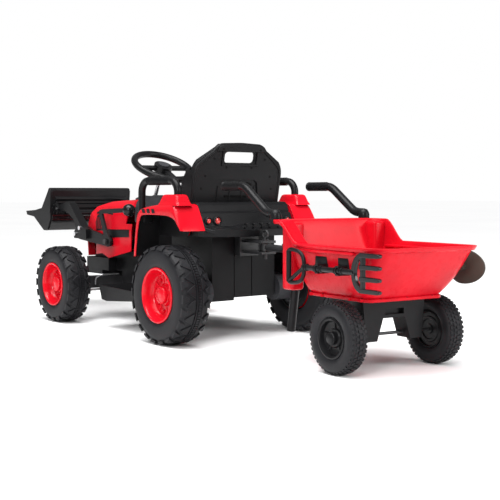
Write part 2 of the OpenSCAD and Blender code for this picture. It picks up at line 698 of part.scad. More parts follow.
module loader_bolts() {
  color(steel) on_tractor() both_sides() union() {
    for (p = [bolt_a, bolt_b]) union() {
      bar_y(p[0], p[1], 4, arm_y, arm_y + arm_w + 1);
      bar_y(p[0], p[1], 7, arm_y + arm_w, arm_y + arm_w + 5);
    }
    bar_y(bucket_pin[0], bucket_pin[1], 4, arm_y - 10, arm_y + arm_w + 12);
  }
}
module bucket() {
  h = bucket_w / 2;
  t = bucket_t;
  plate = [[906, 440], [898, 432], [908, 330], [932, 292], [960, 290], [1040, 338], [lip_x - 8, 344],
    [lip_x, 358], [1030, 362], [976, 370], [922, 434]];
  shell = [[906, 440], [898, 432], [908, 330], [932, 292], [960, 290], [1040, 338], [lip_x - 8, 344],
    [lip_x, 358], [1036, 349], [957, 298], [937, 299], [916, 333], [910, 420], [924, 424], [922, 434]];
  lug = [[bucket_pin[0] - 12, 368], [bucket_pin[0] - 6, 356], [910, 346], [908, 396], [bucket_pin[0] - 4, 380]];
  color(black) on_tractor() difference() {
    union() {
      slab(shell, -h, h);
      both_sides() slab(plate, h - t, h);
      both_sides() slab(lug, arm_y - 8, arm_y - gap);
      both_sides() slab(lug, arm_y + arm_w + gap, arm_y + arm_w + 9);
      // Stiffening ribs on the back
      for (i = [0:2]) slab([[903, 352 + 16 * i], [899, 356 + 16 * i], [899, 362 + 16 * i], [903, 366 + 16 * i]],
        -h + 20, h - 20);
    }
    bar_y(bucket_pin[0], bucket_pin[1], 4 + run_fit, -200, 200);
    // Room for the ends of the arms
    both_sides() bar_y(bucket_pin[0], bucket_pin[1], 13.5, arm_y - gap, arm_y + arm_w + gap);
  }
}

// ---- cart ----
module tub_form(t, top, foot) {
  hull() {
    translate([0, 0, foot]) linear_extrude(1)
      polygon(box_outline(tub_foot_rear_x + t, tub_foot_front_x - t, tub_foot_w / 2 - t, 26));
    translate([0, 0, top - 1]) linear_extrude(1)
      polygon(box_outline(tub_rear_x + 12 + t, tub_front_x - t, tub_w / 2 - 12 - t, 34));
  }
}
module tub_head(t, top) {
  hull() {
    translate([0, 0, tub_rim_z - 16]) linear_extrude(1)
      polygon(box_outline(shelf_end_x - 50 + t, tub_front_x - 4 - t, tub_w / 2 - 12 - t, 14));
    translate([0, 0, top - 1]) linear_extrude(1)
      polygon(box_outline(shelf_end_x + t, tub_front_x + 6 - t, tub_w / 2 - 6 - t, 14));
  }
}
module tub() {
  lip = 8;
  color(red) on_cart() difference() {
    union() {
      tub_form(0, tub_rim_z, tub_floor_z);
      tub_head(0, shelf_z);
      // Rolled rim
      translate([0, 0, tub_rim_z - lip]) linear_extrude(lip)
        polygon(box_outline(tub_rear_x, tub_front_x + 6, tub_w / 2, tub_corner, 16));
      // Shelf that carries the handles
      translate([0, 0, shelf_z - 20]) linear_extrude(20)
        polygon(box_outline(tub_front_x - 4, shelf_x, tub_w / 2, 12));
      translate([0, 0, tub_floor_z - 6]) linear_extrude(7)
        polygon(box_outline(tub_foot_rear_x, tub_foot_rear_x + 150, tub_foot_w / 2, 12));
    }
    tub_form(tub_wall, tub_rim_z + 1, tub_floor_z + tub_wall);
    tub_head(tub_wall, shelf_z + 1);
    // Two slots in each side
    for (s = [-1, 1], x = [-459, -544]) translate([x - 20, s > 0 ? 60 : -tub_w / 2, 252])
      cube([40, tub_w / 2 - 60, 20]);
    // Seats for the tool clips
    for (s = [-1, 1], x = clip_x) translate([x - 6.1, s > 0 ? 60 : -tub_w / 2, tool_z - shaft_d / 2 - 4.5])
      cube([12.2, tub_w / 2 - 60, shaft_d + 9]);
    // Sockets for the handles
    for (s = [-1, 1]) translate([handle_foot_x, s * handle_y, shelf_z - 12]) cylinder(r = 11 + run_fit, h = 30);
  }
}
handle_y = 144;
handle_foot_x = -262;
grip_z = shelf_z + 85;
module cart_handles() {
  bend = [-116, handle_y, grip_z];
  color(black) on_cart() both_sides() union() {
    translate([handle_foot_x, handle_y, shelf_z - 12]) cylinder(r = 11, h = 24);
    tube([[handle_foot_x, handle_y, shelf_z + 11], [handle_foot_x + 34, handle_y, shelf_z + 14], bend,
      [-12, handle_y, grip_z]], 10);
  }
}
module undercarriage() {
  x = -cart_reach;
  leg = [[-88, cart_r - 14], [-52, cart_r - 14], [-34, cart_r + 40], [34, cart_r + 40], [52, cart_r - 14],
    [88, cart_r - 14], [96, tub_floor_z - 6], [-96, tub_floor_z - 6]];
  color(black) on_cart() difference() {
    union() {
      translate([x - 24, 0, 0]) rotate([90, 0, 90]) linear_extrude(48) polygon(leg);
      for (s = [-1, 1]) bar_y(x, cart_r, 11, s > 0 ? 50 : -96, s > 0 ? 96 : -50);
      translate([x - 10, -60, tub_floor_z - 34]) cube([155, 120, 28]);
    }
    bar_y(x, cart_r, cart_axle_d / 2 + run_fit, -200, 200);
    translate([x - 25, -30, cart_r + 48]) cube([12, 60, 14]);
    bar_x(0, tub_floor_z - 18, 10 + run_fit, -404, -300);
  }
}
bar_bend = [-292, 0, tow_z - 6];
module drawbar() {
  color(black) on_cart() difference() {
    union() {
      // Flat eye on the tow pin, then a tube that runs under the shelf and down the front wall
      translate([0, 0, tow_z - eye_h / 2]) cylinder(r = 15, h = eye_h);
      tube([[-12, 0, tow_z], bar_bend, [tub_foot_front_x + 8, 0, tub_floor_z - 18],
        [-402, 0, tub_floor_z - 18]], 10);
    }
    translate([0, 0, tow_z - 60]) cylinder(r = tow_pin_d / 2 + run_fit, h = 120);
  }
}
stand_x = -163;
module stand_leg() {
  top = [stand_x, 0, tow_z - 12];
  foot = [stand_x + 36, 0, 46];
  lean = unit(foot - top);
  color(black) on_cart() difference() {
    union() {
      bar(top, foot, 11.5);
      bar(top + 78 * lean, top + 92 * lean, 15);
      translate([stand_x, 0, tow_z - 4]) rotate([0, 90, 0]) translate([0, 0, -16]) cylinder(r = 15, h = 32);
    }
    bar([-12, 0, tow_z], bar_bend, 10 + run_fit);
  }
}
module cart_axle() {
  color(steel) on_cart() bar_y(-cart_reach, cart_r, cart_axle_d / 2, -cart_half - 20, cart_half + 20);
}
cart_rim_r = 47;
module cart_tyre(s) {
  color(black) on_cart() turned(-cart_reach, s * cart_half, cart_r, s) difference() {
    h = cart_tyre_w / 2;
    polygon([[cart_rim_r, -h + 8], [cart_rim_r + 10, -h + 1], [cart_r - 18, -h], [cart_r - 7, -h + 6],
      [cart_r, -10], [cart_r, 10], [cart_r - 7, h - 6], [cart_r - 18, h], [cart_rim_r + 10, h - 1],
      [cart_rim_r, h - 8]]);
    polygon([[cart_rim_r - 1, -h + 13], [cart_r - 16, -h + 6], [cart_r - 6, -8], [cart_r - 6, 8],
      [cart_r - 16, h - 6], [cart_rim_r - 1, h - 13]]);
  }
}
module cart_hub(s) {
  color(black) on_cart() turned(-cart_reach, s * cart_half, cart_r, s)
    polygon([[cart_axle_d / 2 + run_fit, -18], [14, -18], [14, -4], [34, -4], [cart_rim_r - 5, -cart_tyre_w / 2 + 8],
      [cart_rim_r - 0.3, -cart_tyre_w / 2 + 8], [cart_rim_r - 0.3, cart_tyre_w / 2 - 9],
      [cart_rim_r + 1, cart_tyre_w / 2 - 7], [cart_rim_r - 2, cart_tyre_w / 2 - 1],
      [cart_rim_r - 8, cart_tyre_w / 2 - 4], [34, 2], [16, 2], [16, 22], [12, 24],
      [cart_axle_d / 2 + run_fit, 24]]);
}
module cart_tyre_left() { cart_tyre(1); }
module cart_tyre_right() { cart_tyre(-1); }
module cart_hub_left() { cart_hub(1); }
module cart_hub_right() { cart_hub(-1); }
// Clips that stand on the tub's sides and are open outwards.
module tool_clips() {
  r = shaft_d / 2 + 0.4;
  color(black) on_cart() both_sides() for (x = clip_x) difference() {
    translate([x - 6, tub_w / 2 - 34, tool_z - r - 4]) cube([12, tool_y + r - tub_w / 2 + 34, 2 * r + 8]);
    translate([x - 7, tool_y, tool_z - r]) cube([14, 40, 2 * r]);
    bar_x(tool_y, tool_z, r, x - 7, x + 7);
  }
}
fork_head_x = -612;
// Ring-shaped grip at the front end of a tool's shaft
module grip_ring(y) {
  ring = [[-344, tool_z + 38], [-352, tool_z + 46], [-402, tool_z + 46], [-424, tool_z + 26],
    [-430, tool_z + 8], [-430, tool_z - 8], [-424, tool_z - 26], [-402, tool_z - 46], [-352, tool_z - 46],
    [-344, tool_z - 38]];
  difference() {
    slab(ring, y - 8, y + 8);
    slab(inset(ring, 12), y - 9, y + 9);
  }
}
module garden_fork() {
  r = shaft_d / 2;
  y = tool_y;
  color(black) on_cart() union() {
    bar_x(y, tool_z, r, fork_head_x - 20, -420);
    grip_ring(y);
    // Curved back of the head and its four tines
    translate([fork_head_x - 30, y - 5, tool_z - 44]) cube([16, 10, 88]);
    for (i = [0:3]) translate([fork_head_x - 92, y - 5, tool_z - 44 + i * 26]) cube([70, 10, 10]);
    translate([fork_head_x - 18, y - 5, tool_z - 26]) cube([12, 10, 52]);
  }
}
module shovel_shaft() {
  r = shaft_d / 2;
  y = -tool_y;
  color(black) on_cart() difference() {
    union() {
      bar_x(y, tool_z, r, -586, -420);
      bar_x(y, tool_z, r + 3, -589, -566);
      grip_ring(y);
    }
    bar_x(y, tool_z, 5, -590, -570);
  }
}
module shovel_blade() {
  y = -tool_y;
  blade = [for (i = [0:27]) let (a = 360 * i / 28)
    [-592 + (cos(a) < 0 ? 76 : 48) * cos(a), tool_z - 1 + 43 * sin(a)]];
  color("#8a8178") on_cart() union() {
    slab(blade, y - 16, y - 11);
    bar_x(y, tool_z, 4.9, -600, -571);
    translate([-604, y - 12, tool_z - 6]) cube([13, 18, 12]);
  }
}

chassis();
battery();
gearboxes();
rear_axle();
axle_nuts();
seat();
seat_back();
rear_deck();
rear_bumper();
tail_lights();
fender_left();
fender_right();
grab_rails();
hood();
grille();
dash();
footrests();
drive_pedal();
front_axle_beam();
kingpins();
knuckle_left();
knuckle_right();
tie_rod();
steering_shaft();
steering_wheel();
horn_button();
tow_bracket();
tow_pin();
rear_tyre_left();
rear_rim_left();
rear_cap_left();
rear_tyre_right();
rear_rim_right();
rear_cap_right();
front_tyre_left();
front_rim_left();
front_cap_left();
front_tyre_right();
front_rim_right();
front_cap_right();
loader_frame();
loader_lever();
lever_knob();
loader_pivots();
loader_bolts();
bucket();
tub();
undercarriage();
drawbar();
stand_leg();
cart_axle();
cart_tyre_left();
cart_hub_left();
cart_tyre_right();
cart_hub_right();
cart_handles();
tool_clips();
garden_fork();
shovel_shaft();
shovel_blade();
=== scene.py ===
import json
import math

import bmesh
import bpy
from bpy.props import FloatProperty, FloatVectorProperty, IntProperty, PointerProperty
from mathutils import Matrix, Vector

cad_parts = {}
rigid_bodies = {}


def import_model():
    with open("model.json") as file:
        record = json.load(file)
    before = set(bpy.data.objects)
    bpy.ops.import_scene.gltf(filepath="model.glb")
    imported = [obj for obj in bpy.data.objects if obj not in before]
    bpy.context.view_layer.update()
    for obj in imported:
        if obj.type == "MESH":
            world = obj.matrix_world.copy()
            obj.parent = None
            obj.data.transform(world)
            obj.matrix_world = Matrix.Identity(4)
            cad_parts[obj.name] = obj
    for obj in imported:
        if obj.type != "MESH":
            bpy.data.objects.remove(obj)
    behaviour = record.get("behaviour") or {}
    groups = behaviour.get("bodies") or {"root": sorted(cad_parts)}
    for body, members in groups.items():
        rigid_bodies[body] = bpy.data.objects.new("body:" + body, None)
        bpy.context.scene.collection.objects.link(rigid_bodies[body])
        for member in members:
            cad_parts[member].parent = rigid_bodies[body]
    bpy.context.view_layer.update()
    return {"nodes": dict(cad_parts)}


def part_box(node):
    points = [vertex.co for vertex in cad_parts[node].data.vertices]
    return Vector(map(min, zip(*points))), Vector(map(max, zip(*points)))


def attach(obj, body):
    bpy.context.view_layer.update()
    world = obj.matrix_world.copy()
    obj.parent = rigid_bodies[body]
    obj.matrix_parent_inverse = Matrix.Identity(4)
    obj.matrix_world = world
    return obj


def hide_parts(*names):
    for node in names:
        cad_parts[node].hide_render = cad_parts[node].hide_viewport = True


bl_info = {
    "name": "Ride-on tractor and cart",
    "version": (1, 0, 0),
    "blender": (4, 5, 0),
    "location": "View3D > Sidebar > Tractor",
    "description": "Builds the moulded, rubber and steel finish of a child's tractor with its loader and cart",
    "category": "Object",
}

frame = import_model()


def middle(node):
    low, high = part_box(node)
    return (low + high) / 2


# The tractor is drawn from its rear axle and the cart from its tow pin, both in millimetres.
AXLE = middle("rear_axle")
TOW = middle("tow_pin")
ACROSS = middle("cart_tyre_left") - middle("cart_tyre_right")
CART_TURN = math.atan2(-ACROSS.x, ACROSS.y)
MM = Matrix.Scale(0.001, 4)
ON_TRACTOR = Matrix.Translation((AXLE.x, 0, 0)) @ MM
ON_CART = Matrix.Translation((TOW.x, 0, 0)) @ Matrix.Rotation(CART_TURN, 4, "Z") @ MM
TRACK = middle("rear_tyre_left").y * 1000
WHEELBASE = (middle("front_tyre_left").x - AXLE.x) * 1000

CART_BODIES = ("cart", "cart_wheel_left", "cart_wheel_right", "fork", "shovel")
HANDS = (("left", 1), ("right", -1))
# End, x of the axle, radius, width, rim radius, tread blocks
TRACTOR_WHEELS = (("rear", 0, 140, 94, 76, 22), ("front", WHEELBASE, 125, 83, 69, 20))
CLEATS_PER_LUG = 5
CART_WHEEL_X, CART_WHEEL_Y, CART_WHEEL_RADIUS, CART_RIM = -529, 151, 87, 47
TUB_FLOOR, TUB_LOW_RIM, TUB_HIGH_RIM = 178, 301, 357
TUB_SCREWS_X, TUB_SCREW_Y = (-575, -530, -425, -380), 117
TOOL_Y, TOOL_Z = 170, 246
HANDLE_Y, HANDLE_Z = 144, 442
RAIL_Y, RAIL_Z = 214, 459
LAMP_X, LAMP_Z = -46, 345
LAMPS = ((144, 8), (113, 10))
BAND_HALF = 160
HOOD_HALF = 112.0
ROLL_X, ROLL_Z, ROLL_RADIUS, ROLL_HALF = 904, 404, 8.5, 141


# ---- finishes


class Sig:
    """A socket that can be scaled and summed."""

    def __init__(self, finish, socket):
        self.finish = finish
        self.socket = socket

    def __add__(self, other):
        return self.finish.node("Math", {"operation": "ADD"}, {0: self, 1: other})

    def __mul__(self, other):
        return self.finish.node("Math", {"operation": "MULTIPLY"}, {0: self, 1: other})


class Finish:
    """A procedural material and the few node moves that it is written with."""

    def __init__(self, name, **constants):
        self.material = bpy.data.materials.new(name)
        self.material.use_nodes = True
        self.tree = self.material.node_tree
        self.shader = self.tree.nodes["Principled BSDF"]
        for socket, value in constants.items():
            self.shader.inputs[socket.replace("_", " ")].default_value = value
        self.place = self.node("TexCoord", {}, {}, "Object")

    def node(self, kind, settings, values, output=0):
        made = self.tree.nodes.new("ShaderNode" + kind)
        for key, value in settings.items():
            setattr(made, key, value)
        for key, value in values.items():
            if isinstance(value, Sig):
                self.tree.links.new(value.socket, made.inputs[key])
            else:
                made.inputs[key].default_value = value
        return Sig(self, made.outputs[output])

    def feed(self, socket, value):
        self.tree.links.new(value.socket, self.shader.inputs[socket])

    def noise(self, scale, detail=3.0, rough=0.55, stretch=None):
        place = self.place
        if stretch:
            place = self.node("Mapping", {}, {"Vector": place, "Scale": stretch})
        values = {"Vector": place, "Scale": scale, "Detail": detail, "Roughness": rough}
        return self.node("TexNoise", {}, values, "Fac")

    def colour(self, value, low, dark, high, light):
        """Feeds the colour from dark to light as the value goes from low to high."""
        ramp = self.node("ValToRGB", {}, {"Fac": value}, "Color")
        stops = ramp.socket.node.color_ramp.elements
        for stop, at, shade in ((stops[0], low, dark), (stops[1], high, light)):
            stop.position = at
            stop.color = (*shade, 1)
        self.feed("Base Color", ramp)

    def bump(self, height, strength, distance):
        values = {"Height": height, "Strength": strength, "Distance": distance}
        self.feed("Normal", self.node("Bump", {}, values, "Normal"))


def shaded(colour, by):
    return tuple(c * by for c in colour)


def moulded(name, colour, rough=0.42, grain=2600.0, depth=0.12, dust=0.25, coat=0.0, shine=0.15):
    """Injection-moulded plastic: fine spark-eroded grain, faint flow marks, and a little settled dust."""
    f = Finish(name, Roughness=rough, IOR=1.5, Coat_Weight=coat, Coat_Roughness=0.12, Specular_IOR_Level=shine)
    flow = f.noise(9.0, 2.0)
    specks = f.noise(grain, 2.0)
    light = tuple(min(1.0, c * 1.10 + 0.004 * dust) for c in colour)
    f.colour(flow, 0.35, shaded(colour, 0.86), 0.68, light)
    scuffs = f.node("MapRange", {}, {"Value": f.noise(60.0, 5.0, 0.7), "From Min": 0.4, "From Max": 0.75})
    f.feed("Roughness", scuffs * (0.2 * dust) + specks * 0.04 + (rough - 0.03))
    f.bump(specks, depth, 0.0006)
    return f


def mottled(name, patches, stops, vary, base, relief=None, **constants):
    """Steel, paint or lens: patches vary the colour and the roughness, and relief roughens the surface."""
    f = Finish(name, **constants)
    value = f.noise(*patches)
    f.colour(value, *stops)
    f.feed("Roughness", value * vary + base)
    if relief:
        noise, strength, distance = relief
        f.bump(f.noise(*noise), strength, distance)
    return f


def build_finishes(look):
    red = tuple(look.red)
    black = tuple(look.black)
    # Key, name, colour, roughness, grain, depth of the grain, dust, coat, shine
    plastics = (
        ("red", "gloss_red_plastic", red, 0.24, 1800.0, 0.03, 0.1, 0.08, 0.16),
        ("tub_red", "tub_red_plastic", shaded(red, 0.97), 0.28, 1500.0, 0.04, 0.15, 0.0, 0.12),
        ("rim_red", "rim_red_plastic", shaded(red, 1.02), 0.18, 1800.0, 0.02, 0.1, 0.12, 0.2),
        ("black", "grained_black_plastic", black, 0.40, 1400.0, 0.16),
        ("satin", "satin_black_plastic", shaded(black, 1.1), 0.30, 2200.0, 0.06),
        ("gloss", "gloss_black_plastic", shaded(black, 0.8), 0.18, 2200.0, 0.02, 0.1, 0.12, 0.22),
        ("grey", "dark_grey_plastic", (0.035, 0.036, 0.04), 0.42, 1500.0, 0.1),
        ("louvre", "dark_red_plastic", (0.16, 0.008, 0.012), 0.34, 1500.0, 0.05),
        ("blade", "brown_grey_plastic", (0.055, 0.046, 0.038), 0.40, 1200.0, 0.12),
        ("mirror_black", "polished_black_plastic", shaded(black, 1.2), 0.14, 2200.0, 0.01, 0.1, 0.9, 0.5),
        ("pit", "shadowed_hole", (0.0015, 0.0015, 0.0015), 0.8, 900.0, 0.1),
        ("pale", "pale_mark", (0.62, 0.62, 0.64), 0.35, 1500.0, 0.03),
    )
    made = {key: moulded(*values) for key, *values in plastics}

    f = Finish("tyre_plastic", Roughness=0.6, Specular_IOR_Level=0.2)
    wear = f.noise(26.0, 5.0, 0.65)
    dust = f.noise(300.0, 3.0)
    f.colour(wear, 0.3, shaded(look.tyre, 0.85), 0.72, shaded(look.tyre, 1.5))
    f.feed("Roughness", wear * 0.2 + dust * 0.1 + 0.36)
    f.bump(dust, 0.18, 0.0008)
    made["tyre"] = f

    made["zinc"] = mottled("zinc_steel", (70.0, 4.0), (0.3, (0.42, 0.42, 0.43), 0.7, (0.66, 0.66, 0.67)),
                           0.18, 0.22, ((400.0, 2.0, 0.5, (1, 12, 12)), 0.06, 0.0004), Metallic=1.0)
    made["chrome"] = mottled("chrome_bolt", (240.0, 3.0), (0.2, (0.74, 0.74, 0.76), 0.8, (0.9, 0.9, 0.92)),
                             0.08, 0.06, Metallic=1.0)
    made["lamp"] = mottled("lamp_lens", (180.0, 2.0), (0.3, (0.52, 0.03, 0.03), 0.7, (0.74, 0.09, 0.08)),
                           0.1, 0.12, IOR=1.5, Coat_Weight=0.6)
    made["paint"] = mottled("black_painted_steel", (30.0, 6.0, 0.7),
                            (0.3, (0.012, 0.012, 0.013), 0.8, (0.03, 0.03, 0.032)),
                            0.15, 0.26, ((800.0, 2.0), 0.08, 0.0005))
    return made


FINISHES = {}


# ---- shaping


def shown(name, mesh, finish, body="tractor", slot="moulded_black", replaces=(),
          bevel=0.0, segments=2, wall=0.0, angle=40.0):
    """Puts a finished mesh in the scene, riding on its body."""
    piece = bpy.data.objects.new(name, mesh)
    bpy.context.scene.collection.objects.link(piece)
    mesh.materials.clear()
    mesh.materials.append(FINISHES[finish].material)
    if wall:
        solid = piece.modifiers.new("Wall", "SOLIDIFY")
        solid.thickness = wall / 1000
        solid.offset = -1
    if bevel:
        rounder = piece.modifiers.new("Rounding", "BEVEL")
        rounder.width = bevel / 1000
        rounder.segments = segments
        rounder.limit_method = "ANGLE"
        rounder.angle_limit = math.radians(28)
        rounder.use_clamp_overlap = True
    for polygon in mesh.polygons:
        polygon.use_smooth = True
    if bevel or wall:
        weighted = piece.modifiers.new("Normals", "WEIGHTED_NORMAL")
        weighted.keep_sharp = True
    mesh.set_sharp_from_angle(angle=math.radians(angle))
    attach(piece, body)
    if replaces:
        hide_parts(*replaces)


def to_mesh(bm, name):
    mesh = bpy.data.meshes.new(name)
    bm.to_mesh(mesh)
    bm.free()
    return mesh


def as_mesh(bm, name, place):
    """Closes the seams, turns the faces outward and carries the millimetres to their place."""
    bmesh.ops.remove_doubles(bm, verts=bm.verts, dist=1e-4)
    bmesh.ops.recalc_face_normals(bm, faces=bm.faces)
    bm.transform(place)
    return to_mesh(bm, name)


def show(bm, name, finish, body="tractor", slot="moulded_black", replaces=(), place=None, **edges):
    if place is None:
        place = ON_CART if body in CART_BODIES else ON_TRACTOR
    shown(name, as_mesh(bm, name, place), finish, body, slot, replaces, **edges)


def rounded(node, finish, slot, bevel):
    """A CAD node with the softened edges of a moulding."""
    bm = bmesh.new()
    bm.from_mesh(frame["nodes"][node].data)
    bmesh.ops.remove_doubles(bm, verts=bm.verts, dist=2e-6)
    bmesh.ops.dissolve_limit(bm, angle_limit=math.radians(1.0), verts=bm.verts, edges=bm.edges)
    name = node + "_moulding"
    body = frame["nodes"][node].parent.name.split(":")[-1]
    shown(name, to_mesh(bm, name), finish, body, slot, [node], bevel, 3)


def coat(node, finish):
    """Gives a CAD node its finish."""
    mesh = frame["nodes"][node].data
    mesh.materials.clear()
    mesh.materials.append(FINISHES[finish].material)
    for polygon in mesh.polygons:
        polygon.use_smooth = True
    mesh.set_sharp_from_angle(angle=math.radians(35))


def add_slab(bm, outline, near, far, axis="Y"):
    """A flat outline pushed along an axis. The outline's pair is (x, z) along Y and (y, z) along X."""
    def at(pair, depth):
        return (pair[0], depth, pair[1]) if axis == "Y" else (depth, *pair)
    low, high = sorted((near, far))
    face = bm.faces.new([bm.verts.new(at(pair, low)) for pair in outline])
    grown = bmesh.ops.extrude_face_region(bm, geom=[face])
    step = Vector(at((0, 0), high)) - Vector(at((0, 0), low))
    verts = [v for v in grown["geom"] if isinstance(v, bmesh.types.BMVert)]
    bmesh.ops.translate(bm, verts=verts, vec=step)


def add_block(bm, one, other, soften=0.0, segments=2):
    """A box between two opposite corners, with softened edges."""
    low, high = Vector(map(min, one, other)), Vector(map(max, one, other))
    place = Matrix.Translation((low + high) / 2) @ Matrix.Diagonal((*(high - low), 1))
    made = bmesh.ops.create_cube(bm, size=1.0, matrix=place)
    if soften:
        edges = list({e for v in made["verts"] for e in v.link_edges})
        bmesh.ops.bevel(bm, geom=edges, offset=soften, affect="EDGES", segments=segments, profile=0.5, material=-1)


def add_rod(bm, a, b, radius, sides=24, end=None):
    a, b = Vector(a), Vector(b)
    along = b - a
    place = Matrix.Translation((a + b) / 2) @ along.to_track_quat("Z", "Y").to_matrix().to_4x4()
    bmesh.ops.create_cone(bm, cap_ends=True, segments=sides, radius1=radius,
                          radius2=radius if end is None else end, depth=along.length, matrix=place)


def joined(bm, verts, closed=True):
    """Edges from each vertex to the next."""
    after = verts[1:] + verts[:1] if closed else verts[1:]
    return [bm.edges.new(pair) for pair in zip(verts, after)]


def bridge(bm, chains):
    for one, two in zip(chains, chains[1:]):
        bmesh.ops.bridge_loops(bm, edges=one + two)


def add_loft(bm, loops, close_first=True):
    """Bridges a stack of closed loops of points."""
    rings = [joined(bm, [bm.verts.new(point) for point in loop]) for loop in loops]
    bridge(bm, rings)
    if close_first:
        bmesh.ops.edgeloop_fill(bm, edges=rings[0])
    bmesh.ops.edgeloop_fill(bm, edges=rings[-1])


def add_turned(bm, profile, centre, out, steps, axis="Y"):
    """Spins (radius, outward) pairs about a line through centre."""
    centre = Vector(centre)
    line, across = (Vector(v) for v in {"X": ((1, 0, 0), (0, 0, 1)), "Y": ((0, 1, 0), (0, 0, 1)),
                                        "Z": ((0, 0, 1), (1, 0, 0))}[axis])
    verts = [bm.verts.new(centre + across * r + line * (w * out)) for r, w in profile]
    edges = joined(bm, verts, False)
    bmesh.ops.spin(bm, geom=verts + edges, cent=centre, axis=line, angle=math.tau, steps=steps, use_merge=True)


def add_turned_x(bm, profile, centre, steps=36):
    add_turned(bm, profile, centre, 1, steps, "X")


def mirrored(profile):
    """A profile and its reflection in the plane where outward is 0."""
    return profile + [(r, -w) for r, w in reversed(profile) if w]


def bead(foot, shoulder, crown, half, flat):
    """Profile of one rib round a grip or a shaft."""
    return mirrored([(foot, -half), (shoulder, -flat), (crown, 0)])


def on_wheel(centre, radius, angle, out):
    return Vector((centre[0] + radius * math.cos(angle), centre[1] + out, centre[2] + radius * math.sin(angle)))


def tube_mesh(name, points, radius, place, turn=12.0, rings=6, sides=8):
    """A bent round bar through points, with its corners eased."""
    curve = bpy.data.curves.new(name, "CURVE")
    curve.dimensions = "3D"
    curve.bevel_depth = radius / 1000
    curve.bevel_resolution = sides
    curve.use_fill_caps = True
    points = [Vector(point) for point in points]
    eased = [points[0]]
    for before, here, after in zip(points, points[1:], points[2:]):
        back, on = (before - here), (after - here)
        cut = min(turn, back.length * 0.45, on.length * 0.45)
        start, stop = here + back.normalized() * cut, here + on.normalized() * cut
        for i in range(rings + 1):
            t = i / rings
            eased.append(start * (1 - t) ** 2 + here * (2 * t * (1 - t)) + stop * t ** 2)
    eased.append(points[-1])
    spline = curve.splines.new("POLY")
    spline.points.add(len(eased) - 1)
    for point, at in zip(spline.points, eased):
        point.co = (*(place @ at), 1)
    holder = bpy.data.objects.new(name + "_path", curve)
    bpy.context.scene.collection.objects.link(holder)
    bpy.context.view_layer.update()
    mesh = bpy.data.meshes.new_from_object(holder.evaluated_get(bpy.context.evaluated_depsgraph_get()))
    bpy.data.objects.remove(holder)
    bpy.data.curves.remove(curve)
    return mesh


def add_tube(bm, *bar):
    """Adds a bent bar that is already in its place."""
    mesh = tube_mesh("bar", *bar)
    bm.from_mesh(mesh)
    bpy.data.meshes.remove(mesh)


def rounded_loop(x0, x1, half, radius, steps=6):
    """A rectangle in plan with rounded corners, as (x, y) pairs."""
    points = []
    for cx, cy, start in ((x1 - radius, half - radius, 0), (x0 + radius, half - radius, 90),
                          (x0 + radius, radius - half, 180), (x1 - radius, radius - half, 270)):
        for i in range(steps + 1):
            angle = math.radians(start + 90 * i / steps)
            points.append((cx + radius * math.cos(angle), cy + radius * math.sin(angle)))
    return points


# ---- wheels


def add_lug(bm, centre, radius, base, angle, corners, out):
    """One tread block. Corners are (degrees, across); base is its height, the half width and the shoulder's fall."""
    height, half, shoulder = base
    top, foot = [], []
    for turn, across in corners:
        a = angle + math.radians(turn)
        fall = max(0.0, abs(across) / half - 0.55) * shoulder
        top.append(bm.verts.new(on_wheel(centre, radius - fall, a, across * out)))
        foot.append(bm.verts.new(on_wheel(centre, radius - height - fall, a, across * out)))
    n = len(top)
    bm.faces.new(top)
    for i in range(n):
        bm.faces.new((top[i], foot[i], foot[(i + 1) % n], top[(i + 1) % n]))


def build_tractor_tyre(body, node, centre, side, width, rim, lugs, depth):
    name = body + "_tyre"
    radius = centre[2]
    h = width / 2
    crown = radius - depth
    bm = bmesh.new()
    profile = [(rim - 1, -h + 10), (rim + 3, -h + 4), (rim + 14, -h + 2.2), (radius * 0.80, -h + 0.8),
               (radius * 0.86, -h + 2.2), (crown - 5, -h + 7), (crown - 1.5, -h + 16), (crown, -h * 0.4), (crown, 0)]
    add_turned(bm, mirrored(profile), centre, side, 96)
    show(bm, name, "tyre", body, "tyre_black", [node], angle=50)
    # Chevron blocks, with a shoulder block beside each and a thin cleated rib round the middle
    bm = bmesh.new()
    pitch = 360 / lugs
    base = (depth + 2.5, h, 13.0)
    for i in range(lugs):
        for half in (-1, 1):
            a = math.radians(i * pitch + (pitch / 2 if half > 0 else 0))
            start = 6 if half > 0 else 17
            tooth = ((-0.47, start), (0.47, start), (0.06, h - 15), (-0.06, h - 15))
            block = ((0.16, h - 1.6), (0.84, h - 1.6), (0.60, h - 19), (0.40, h - 19))
            for corners, drop in ((tooth, 0.6), (block, 0.0)):
                corners = [(share * pitch, half * across) for share, across in corners]
                add_lug(bm, centre, radius - drop, base, a, corners, side)
    show(bm, name + "_tread", "tyre", body, "tyre_black", bevel=1.0, segments=1, angle=60)
    bm = bmesh.new()
    add_turned(bm, mirrored([(crown - 2, -2.4), (radius - 1.6, -1.5)]), centre, side, 96)
    cleats = lugs * CLEATS_PER_LUG
    wide = 0.34 * pitch / CLEATS_PER_LUG
    for i in range(cleats):
        corners = [(-wide, -14.5), (wide, -14.5), (wide, -4.5), (-wide, -4.5)]
        add_lug(bm, centre, radius - 1.2, (4.4, h, 0.0), math.tau * i / cleats, corners, side)
    show(bm, name + "_rib", "tyre", body, "tyre_black")


